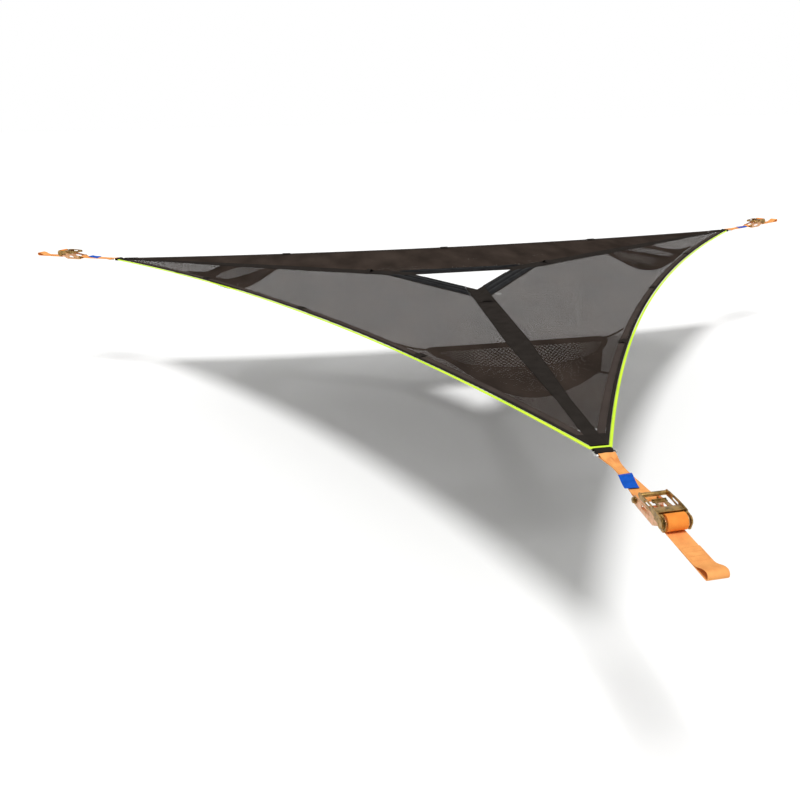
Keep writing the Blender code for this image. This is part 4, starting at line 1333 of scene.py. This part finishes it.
def storage_net(nets, corner):
    """A folded pocket of netting with its borders and ties."""
    shape = net_shape(nets, corner)
    lower, upper = (partial(layer, nets, shape) for layer in (lower_layer, upper_layer))
    netting = moved(strands(nets, lower, 52.0) + strands(nets, upper, 47.0), on_corner(corner))
    piece = add_piece(f"net_{corner}", netting, ["nylon_netting"], weld=False)
    border = moved(net_border(nets, shape) + net_ties(nets), on_corner(corner))
    trim = add_piece(f"net_border_{corner}", border, ["black_polypropylene"])
    dress(piece, BODY, "black_netting", f"storage_net_{corner}")
    dress(trim, BODY, "black_netting")
    area = layer_area(nets, lower) + layer_area(nets, upper)


# Corner hardware, in a strap line's own plan


def corner_tab(straps, corner):
    """Webbing sewn under the corner patch, led down past its edge and folded round the ring."""
    half, thick, lowest = 0.0258, 0.0024, -0.0057
    under = np.column_stack([np.linspace(2.300, 2.362, 12), np.full(12, -0.0024)])
    dip = [(2.368, -0.0028), (2.374, -0.0045), (2.382, -0.0056), (2.396, lowest)]
    turn = arc((straps.ring_at, 0.0), 0.00565, -90.0, 115.0, 22)
    back = [(2.4025, 0.0040), (2.396, 0.0018), (2.391, 0.0006)]
    path = upright(np.vstack([under, dip, turn, back]))
    parts = [tape(path, ACROSS, half, thick, columns=10)]
    for at in (2.3985, 2.4025):
        row = row_at(at, [-0.022, 0.022], lowest - thick / 2 - 0.0001)
        parts.append(stitches(row, 0.0036, 0.0026, up=(0, 0, -1)))
    black_webbing(f"tab_webbing_{corner}", parts, on_corner(corner), f"corner_tab_{corner}")


def ring_path(straps):
    """A rectangle of wire with round corners, closed on its first point."""
    r = 0.007
    far, wide = straps.ring_length - r, straps.ring_half - r
    corners = ((r, -wide, 180.0), (far, -wide, 270.0), (far, wide, 0.0), (r, wide, 90.0))
    plan = np.vstack([arc((x, y), r, start, start + 90.0, 10) for x, y, start in corners])
    return row_at(*np.vstack([plan, plan[:1]]).T, 0.0)


def corner_ring(straps, corner):
    """A ring of bright wire with its weld on one short side, a bead that swells as an ellipse."""
    share = np.linspace(-1, 1, 13)
    weld = row_at(straps.ring_length / 2 + 0.0022 * share, straps.ring_half, 0.0)
    swell = straps.ring_wire * (1.0 + 0.16 * np.sqrt(1 - 0.98 * share**2))
    parts = [tube(ring_path(straps), straps.ring_wire, 20, closed=True), tube(weld, swell, 20)]
    piece = add_piece(f"ring_{corner}", moved(parts, on_line(corner)), ["nickel_steel"], 60.0)
    dress(piece, BODY, "bright_steel", f"corner_ring_{corner}")


# How far each sling rolls about its own line, in degrees
SLING_ROLL = {"front": 8.0, "right": 9.0, "left": -8.0}


def sling_shape(straps, corner, narrow=True):
    """How the sling hangs: drawn in and rolled about its own line between ring and bolt, with
    small folds where the ring gathers it.

    Roll and waist come and go as half a sine, and the folds are a cosine 30 mm long under a bell."""
    roll = math.radians(SLING_ROLL[corner])

    def place(points):
        x, y, z = points.T
        share = np.clip((x - 0.040) / (straps.bolt_x - 0.070), 0, 1)
        swell = np.sin(math.pi * share) ** 1.3
        waist = np.sin(math.pi * share**0.72) ** 1.1
        side = y * (1 - 0.46 * waist) if narrow else y
        gather = np.exp(-(((x - 0.060) / 0.026) ** 2))
        lift = z + gather * (0.0044 * np.cos(2 * math.pi * y / 0.030 + 0.5) - 0.0010)
        cos, sin = np.cos(roll * swell), np.sin(roll * swell)
        return row_at(x, side * cos - lift * sin, side * sin + lift * cos)

    return place


def sling_path(straps):
    """Round the ring's outer bar, out along the top ply, round the bolt and back below."""
    ring_x, bolt_x, lie = straps.ring_length, straps.bolt_x, straps.ply / 2 + 0.0001
    top = np.column_stack([np.linspace(ring_x + 0.022, bolt_x - 0.032, 44), np.full(44, lie)])
    round_bolt = arc((bolt_x, 0.0), 0.0077, 112.0, -112.0, 24)
    round_ring = arc((ring_x, 0.0), 0.0046, 287.0, 73.0, 24)
    return upright(np.vstack([top, round_bolt, top[::-1] * [1, -1], round_ring, top[:1]]))


def sling(straps, corner):
    """Two plies of orange webbing in one loop, sewn together across both ends."""
    face = straps.ply + 0.0003
    near, far = 0.057, straps.bolt_x - 0.044
    parts = [tape(sling_path(straps), ACROSS, straps.webbing, straps.ply, columns=14, closed=True)]
    for at in (near - 0.005, near, far, far + 0.005):
        for side in (-1, 1):
            row = row_at(at, [-0.021, 0.021], side * face)
            parts.append(stitches(row, 0.0036, 0.0026, up=(0, 0, side)))
    for lateral in (-0.0195, 0.0195):
        row = row_at(np.linspace(near, far, 40), lateral, face)
        parts.append(stitches(row, 0.0050, 0.0036))
    parts = moved(moved(parts, sling_shape(straps, corner)), on_line(corner))
    piece = add_piece(f"sling_webbing_{corner}", parts, ["orange_polyester", "orange_thread"])
    dress(piece, BODY, "orange_webbing", f"sling_{corner}")


def sling_label(straps, corner):
    """A blank satin tag laid askew on the sling, sewn at one end.

    Over its last quarter it curls up by 3 mm as a square, and it waves by 0.5 mm as a sine."""
    long, wide, thick, start = 0.086, 0.036, 0.0008, 0.155
    share = np.linspace(0, 1, 29)
    turn = math.radians(-10.0)
    ahead, across = np.array([math.cos(turn), math.sin(turn)]), np.array([-math.sin(turn), math.cos(turn)])
    plan = np.array([start, 0.0]) + share[:, None] * long * ahead
    curl = 0.0030 * np.clip((share - 0.75) / 0.25, 0, 1) ** 2 + 0.0005 * np.sin(9 * share)
    path = np.column_stack([plan, straps.ply + 0.0009 + curl])
    ends = np.array([start + 0.005, 0.0]) + across * np.array([[-0.016], [0.016]])
    row = row_at(*ends.T, straps.ply + 0.0014)
    parts = [tape(path, (*across, 0.0), wide / 2, thick, columns=8), stitches(row, 0.0030, 0.0022)]
    parts = moved(moved(parts, sling_shape(straps, corner, narrow=False)), on_line(corner))
    piece = add_piece(f"blank_tag_{corner}", parts, ["satin_label", "orange_thread"])
    dress(piece, BODY, "blue_label", f"label_{corner}")


# Steps of the strap's sewn tail, which the path at the end of tree_strap leaves out
SEWN_STEPS = 13


def strap_route(straps):
    """The tree strap's middle line: level from the spool, round the eye and back on top.

    Behind the eye the tail comes down on the strap as half a cosine."""
    ply, eye_z, tail = straps.ply, 0.0080, 0.060
    lie, eye_r = -ply / 2, eye_z + ply / 2
    end_x = straps.strap_end - eye_z - ply
    level = np.column_stack([np.linspace(straps.spool_x - 0.006, end_x - 0.002, 40), np.full(40, lie)])
    eye = arc((end_x, eye_z), eye_r, -90.0, 90.0, 20)
    share = np.linspace(0.08, 1, SEWN_STEPS + 1)
    fall = 0.5 - 0.5 * np.cos(math.pi * share)
    high, low = eye_z + eye_r, lie + ply + 0.0001
    back = np.column_stack([end_x - 0.058 * share, high + (low - high) * fall])
    sewn_x = np.linspace(end_x - tail, end_x - 2 * tail, SEWN_STEPS + 1)
    sewn = np.column_stack([sewn_x, np.full(SEWN_STEPS + 1, low)])
    return upright(np.vstack([level, eye, back, sewn]))


def tree_strap(straps, corner):
    """The strap from under the spool to the sewn eye at its tree end."""
    route = strap_route(straps)
    parts = [tape(route, ACROSS, straps.webbing, straps.ply, columns=14)]
    sewn_low, sewn_high = straps.strap_end - 0.128, straps.strap_end - 0.074
    top = straps.ply + 0.0003
    for at in np.linspace(sewn_low, sewn_high, 4):
        parts.append(stitches(row_at(at, [-0.021, 0.021], top), 0.0036, 0.0026))
    for lateral in (-0.020, 0.020):
        parts.append(stitches(row_at([sewn_low, sewn_high], lateral, top), 0.0040, 0.0030))
    parts = moved(parts, on_line(corner))
    piece = add_piece(f"strap_webbing_{corner}", parts, ["orange_polyester", "orange_thread"])
    dress(piece, BODY, "orange_webbing", f"tree_strap_{corner}")
    path = on_line(corner)(route[:-SEWN_STEPS])
    tuple(path[0])


# Ratchet pieces, about the spool's axis: x out along the strap, y across, z up


# The frame's side plates in y, their bore for the spool, the anchor bolt, and the pawls' height
FRAME_IN = 0.0260
FRAME_OUT = 0.0285
AXIS = (0.0, 0.0)
BORE = 0.0094
BOLT = (-0.160, -0.022)
PAWL_Z = 0.00925


def both_sides(make):
    """What a function of the side makes for 1 and for -1."""
    return [make(1), make(-1)]


def side_plate(outline, low, high, side, holes=(), bevel=0.0004):
    """A plate on one side of the ratchet, between two distances from its middle."""
    low, high = sorted((side * low, side * high))
    return plate(outline, low, high, holes, bevel)


def ratchet_frame(corner):
    """Two pressed side plates, each with a stiffening rib, and the web between them below.

    A rib swells as the root of half a sine."""
    outline = np.vstack(
        [
            arc(AXIS, 0.0150, -90.0, 160.0, 24),
            [(-0.022, 0.0035), (-0.060, 0.0015), (-0.120, -0.0055), (BOLT[0] + 0.012, -0.0105)],
            arc(BOLT, 0.0115, 80.0, 270.0, 18),
            [(BOLT[0] + 0.016, -0.0345), (-0.055, -0.0345), (-0.028, -0.0215)],
        ]
    )
    holes = [
        circle(AXIS, BORE),
        circle(BOLT, 0.0063),
        eased_box((-0.049, -0.0125), (-0.01135, -0.00715), 0.0015),
        slot_hole((-0.118, -0.020), (-0.078, -0.017), 0.0045),
    ]
    parts = both_sides(lambda side: side_plate(outline, FRAME_IN, FRAME_OUT, side, holes))
    web = eased_box((-0.141, -0.060), (-0.0262, 0.0262), 0.003)
    parts.append(plate(web, -0.0341, -0.0320, [slot_hole((-0.118, 0.0), (-0.084, 0.0), 0.007)], plan="xy"))
    share = np.linspace(0, 1, 17)
    swell = 0.0016 * np.sqrt(np.clip(np.sin(math.pi * (0.02 + 0.96 * share)), 0.02, 1))
    for side in (-1, 1):
        rib = row_at(-0.066 - 0.070 * share, side * FRAME_OUT, -0.0070 - 0.0040 * share)
        parts.append(tube(rib, swell, 10))
    ratchet_steel("frame", parts, corner, BODY, "ratchet_frame", finish="pink_zinc_steel")


def anchor_bolt(corner):
    """A bolt through the sling's eye, with a chamfered head, a nut and the end of its thread."""
    seat, shank_r = FRAME_OUT + CLEARANCE, 0.0060
    washer, head = seat + 0.0008, seat + 0.0062
    thread = [(seat + 0.0060 + 0.0004 * k, 0.0052 + 0.0005 * (k % 2)) for k in range(4)]
    shank = [(-seat, 0.0), (-seat, shank_r), (seat + 0.0060, shank_r), *thread, (seat + 0.0076, 0.0)]
    parts = [lathe(shank, BOLT, 28)]
    for side in (-1, 1):
        parts.append(side_plate(circle(BOLT, 0.0072, 6), washer, head, side, bevel=0.0007))
        parts.append(side_plate(circle(BOLT, 0.0098, 32), seat, washer, side, bevel=0.0002))
    ratchet_steel("bolt", parts, corner, BODY, "anchor_bolt", slot="bright_steel")


def ratchet_handle(corner):
    """The lever: two pressed plates with a turned rim, a web over the pawl and a round grip."""
    grip, cheek_in, cheek_out = (-0.120, 0.0100), 0.0325, 0.0350
    outline = np.vstack(
        [
            arc(AXIS, 0.0140, -115.0, 70.0, 22),
            [(-0.020, 0.0175), (-0.060, 0.0190), (-0.100, 0.0170)],
            arc(grip, 0.0075, 75.0, 265.0, 14),
            [(-0.090, 0.0035), (-0.050, 0.0015), (-0.024, -0.0040)],
        ]
    )
    holes = [circle(AXIS, BORE), slot_hole((-0.088, 0.0105), (-0.060, 0.0108), 0.0032)]
    parts = both_sides(lambda side: side_plate(outline, cheek_in, cheek_out, side, holes))
    web = eased_box((-0.046, -0.022), (-0.0330, 0.0330), 0.0015)
    parts.append(plate(web, 0.0135, 0.0158, plan="xy"))
    sleeve, rod = bar_profile(0.0310, 0.0058, 0.0012), bar_profile(0.0358, 0.0036, 0.0008)
    parts += [lathe(sleeve, grip, 32), lathe(rod, grip, 20)]
    rim_x, rim_z = (-0.014, -0.030, -0.060, -0.098, -0.113), (0.0170, 0.0180, 0.0187, 0.0168, 0.0160)
    share = np.linspace(0, 4, 33)
    x, z = (np.interp(share, range(5), values) for values in (rim_x, rim_z))
    parts += [tube(row_at(x, side * (cheek_out + 0.0002), z), 0.0013, 10) for side in (-1, 1)]
    ratchet_steel("handle", parts, corner, f"handle_{corner}", "handle")


def spool_wheel(side):
    """A ratchet wheel with 24 pointed teeth: its outline carried across the wheel's thickness,
    drawn in over both edges and joined to the hub on either face."""
    teeth, root, tip, hub, edge = 24, 0.0155, 0.0205, 0.0080, 0.0004
    k = np.arange(teeth)
    gap, point = 2 * math.pi * k / teeth, 2 * math.pi * (k + 0.5) / teeth
    low = np.stack([root * np.cos(gap), root * np.sin(gap)], axis=1)
    high = np.stack([tip * np.cos(point), tip * np.sin(point)], axis=1)
    outline = rounded(np.stack([low, high], axis=1).reshape(-1, 2), 0.0006, 2)
    bore, inner = hub * unit(outline), drawn_in(outline, edge, False)
    near, far = sorted((side * 0.0290, side * 0.0320))
    rings = [(bore, near), (bore, far), (inner, far), (outline, far - edge)]
    rings += [(outline, near + edge), (inner, near), (bore, near)]
    rows = np.stack([upright(ring, y) for ring, y in rings])
    return sheet(np.concatenate([rows, rows[:, :1]], axis=1))


def spool_shaft(side):
    """Half of the slotted shaft: a half disc drawn along y, clear of the webbing's slot."""
    half = arc(AXIS, 0.0090, 12.0, 168.0, 18) * [1, side]
    return plate(half, -0.0356, 0.0356, bevel=0.0003)


def spool(corner):
    """The slotted shaft with its two toothed wheels and its riveted end discs."""
    parts = [*both_sides(spool_wheel), *both_sides(spool_shaft)]
    for side in (-1, 1):
        profile = [(0.0352, 0.0), (0.0352, 0.0122), (0.0356, 0.0125), (0.0366, 0.0125), (0.0372, 0.0118)]
        profile += [(0.0372, 0.0082), (0.0366, 0.0076), (0.0366, 0.0)]
        parts.append(lathe([(side * y, r) for y, r in profile], AXIS))
    ratchet_steel("spool", parts, corner, f"spool_{corner}", "spool")


def winding(straps, corner):
    """The webbing wound on the spool: one spiral whose radius falls by a ply and a gap each
    turn, from the strap's level up round the far side and in to the shaft.

    It is uneven by 0.12 mm, as a sine five times a turn."""
    outer, inner, pitch = 0.0206, 0.0104, 0.0028
    turns = np.linspace(0, 2 * math.pi * (outer - inner) / pitch, 140)
    angle = -math.pi / 2 - turns
    radius = outer - pitch * turns / (2 * math.pi) + 0.00012 * np.sin(5 * angle)
    path = row_at(radius * np.cos(angle), 0.0, radius * np.sin(angle))
    parts = [tape(path, ACROSS, straps.webbing, straps.ply, columns=12)]
    # Its finish is the orange darkened, painted shade for the turns between the frame's plates
    piece = add_piece(f"winding_webbing_{corner}", moved(parts, on_spool(corner)), ["wound_polyester"])
    dress(piece, f"spool_{corner}", "orange_webbing", f"wound_webbing_{corner}")


def pawl_parts(end_x, z):
    """A pawl plate: thick across its back, thin where its two tips meet the wheels."""
    half, tip_in = 0.0321, 0.0254
    tips = [(-0.0215, -half), (-0.0155, -half), (-0.0155, -tip_in), (-0.0237, -tip_in)]
    tips += [(-0.0237, tip_in), (-0.0155, tip_in), (-0.0155, half), (-0.0215, half)]
    thin = rounded(tips + [(-0.0260, half), (-0.0260, -half)], 0.0008, 3)
    back = eased_box((end_x, -0.0245), (-half, half), 0.0010, 3)
    return [
        plate(thin, z - 0.0004, z + 0.0004, bevel=0.00015, plan="xy"),
        plate(back, z - 0.0015, z + 0.0015, plan="xy"),
    ]


def drive_pawl(corner):
    """The handle's pawl: its plate, two arms, and a finger bar with its turned lip."""
    parts = pawl_parts(-0.034, PAWL_Z)
    for side in (-1, 1):
        arm = eased_box((-0.083, -0.032), sorted((side * 0.009, side * 0.015)), 0.0010, 3)
        parts.append(plate(arm, PAWL_Z - 0.0012, PAWL_Z + 0.0012, plan="xy"))
    bar = eased_box((-0.090, -0.080), (-0.0185, 0.0185), 0.0016)
    slot = slot_hole((-0.085, -0.012), (-0.085, 0.012), 0.0018)
    parts.append(plate(bar, PAWL_Z - 0.0022, PAWL_Z + 0.0014, [slot], 0.0008, "xy"))
    lip_z = PAWL_Z + 0.0042
    lip = rounded([(-0.0900, PAWL_Z), (-0.0875, PAWL_Z), (-0.0880, lip_z), (-0.0900, lip_z)], 0.0006, 3)
    parts.append(plate(lip, -0.0180, 0.0180, bevel=0.0005))
    ratchet_steel("drive_pawl", parts, corner, f"drive_pawl_{corner}", "drive_pawl")


def lock_pawl(corner):
    """The frame's pawl, a plate that slides in the frame's two slots."""
    parts = pawl_parts(-0.040, -PAWL_Z)
    ratchet_steel("lock_pawl", parts, corner, f"lock_pawl_{corner}", "lock_pawl")


def gear_ring():
    """The small lamp ring keeps its shape and gets the bright steel."""
    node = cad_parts["gear_ring"]
    node.data.materials.clear()
    node.data.materials.append(bpy.data.materials["nickel_steel"])


# Operators, panel and registration


class HammockOperator:
    """Runs one group of pieces from the sizes kept on the scene."""

    bl_options = {"REGISTER", "UNDO"}

    def execute(self, context):
        self.build(context.scene)
        return {"FINISHED"}


class HAMMOCK_OT_stage(HammockOperator, bpy.types.Operator):
    """Make the finishes, the camera, the lights and the floor"""

    bl_idname = "hammock.stage"
    bl_label = "Stage and finishes"

    def build(self, scene):
        make_finishes(scene.hammock_colours)
        add_camera(scene.hammock_stage)
        add_lights(scene.hammock_stage)
        add_floor(scene.hammock_stage)
        scene.view_settings.view_transform = "Standard"


class HAMMOCK_OT_tree_straps(HammockOperator, bpy.types.Operator):
    """Make the three tree straps"""

    bl_idname = "hammock.tree_straps"
    bl_label = "Tree straps"

    def build(self, scene):
        for corner in CORNERS:
            tree_strap(scene.hammock_straps, corner)


class HAMMOCK_OT_floor_mesh(HammockOperator, bpy.types.Operator):
    """Make the three mesh panels of the floor"""

    bl_idname = "hammock.floor_mesh"
    bl_label = "Floor mesh"

    def build(self, scene):
        for edge in EDGES:
            floor_mesh(scene.hammock_floor, edge)


class HAMMOCK_OT_hems(HammockOperator, bpy.types.Operator):
    """Make the hems and the bright bindings"""

    bl_idname = "hammock.hems"
    bl_label = "Hems and bindings"

    def build(self, scene):
        for edge in EDGES:
            hem(scene.hammock_floor, edge)
            binding(scene.hammock_floor, edge)


class HAMMOCK_OT_bands(HammockOperator, bpy.types.Operator):
    """Make the radial bands, corner patches and gear loops"""

    bl_idname = "hammock.bands"
    bl_label = "Radial bands"

    def build(self, scene):
        gear_ring()
        for corner in CORNERS:
            radial_band(scene.hammock_floor, corner)
            corner_patch(scene.hammock_floor, corner)
            gear_loop(scene.hammock_floor, corner)


class HAMMOCK_OT_hatch(HammockOperator, bpy.types.Operator):
    """Make the padded edging round the hatch"""

    bl_idname = "hammock.hatch"
    bl_label = "Hatch edging"

    def build(self, scene):
        for edge in EDGES:
            hatch_edging(scene.hammock_floor, edge)


class HAMMOCK_OT_nets(HammockOperator, bpy.types.Operator):
    """Make the three storage nets"""

    bl_idname = "hammock.nets"
    bl_label = "Storage nets"

    def build(self, scene):
        for corner in CORNERS:
            storage_net(scene.hammock_nets, corner)


class HAMMOCK_OT_slings(HammockOperator, bpy.types.Operator):
    """Make the tabs, rings, slings and blank tags"""

    bl_idname = "hammock.slings"
    bl_label = "Slings"

    def build(self, scene):
        for corner in CORNERS:
            corner_tab(scene.hammock_straps, corner)
            corner_ring(scene.hammock_straps, corner)
            sling(scene.hammock_straps, corner)
            sling_label(scene.hammock_straps, corner)


class HAMMOCK_OT_ratchets(HammockOperator, bpy.types.Operator):
    """Make the three ratchets"""

    bl_idname = "hammock.ratchets"
    bl_label = "Ratchets"

    def build(self, scene):
        for corner in CORNERS:
            for make in (ratchet_frame, anchor_bolt, ratchet_handle, spool, drive_pawl, lock_pawl):
                make(corner)
            winding(scene.hammock_straps, corner)


OPERATORS = (
    HAMMOCK_OT_stage,
    HAMMOCK_OT_tree_straps,
    HAMMOCK_OT_floor_mesh,
    HAMMOCK_OT_hems,
    HAMMOCK_OT_bands,
    HAMMOCK_OT_hatch,
    HAMMOCK_OT_nets,
    HAMMOCK_OT_slings,
    HAMMOCK_OT_ratchets,
)


class HAMMOCK_PT_sidebar(bpy.types.Panel):
    """Lists the hammock's steps and its sizes"""

    bl_idname = "HAMMOCK_PT_sidebar"
    bl_label = "Triangle hammock"
    bl_space_type = "VIEW_3D"
    bl_region_type = "UI"
    bl_category = "Hammock"

    def draw(self, context):
        for operator in OPERATORS:
            self.layout.operator(operator.bl_idname)
        for key, group in GROUPS.items():
            box = self.layout.box()
            for value in group.__annotations__:
                box.prop(getattr(context.scene, key), value)


def register():
    for group in GROUPS.values():
        bpy.utils.register_class(group)
    for key, group in GROUPS.items():
        setattr(bpy.types.Scene, key, bpy.props.PointerProperty(type=group))
    for cls in (*OPERATORS, HAMMOCK_PT_sidebar):
        bpy.utils.register_class(cls)


def unregister():
    for cls in (HAMMOCK_PT_sidebar, *OPERATORS[::-1]):
        bpy.utils.unregister_class(cls)
    for key, group in GROUPS.items():
        delattr(bpy.types.Scene, key)
        bpy.utils.unregister_class(group)


def main():
    register()
    for operator in OPERATORS:
        group, name = operator.bl_idname.split(".")
        getattr(getattr(bpy.ops, group), name)()


if __name__ == "__main__":
    main()
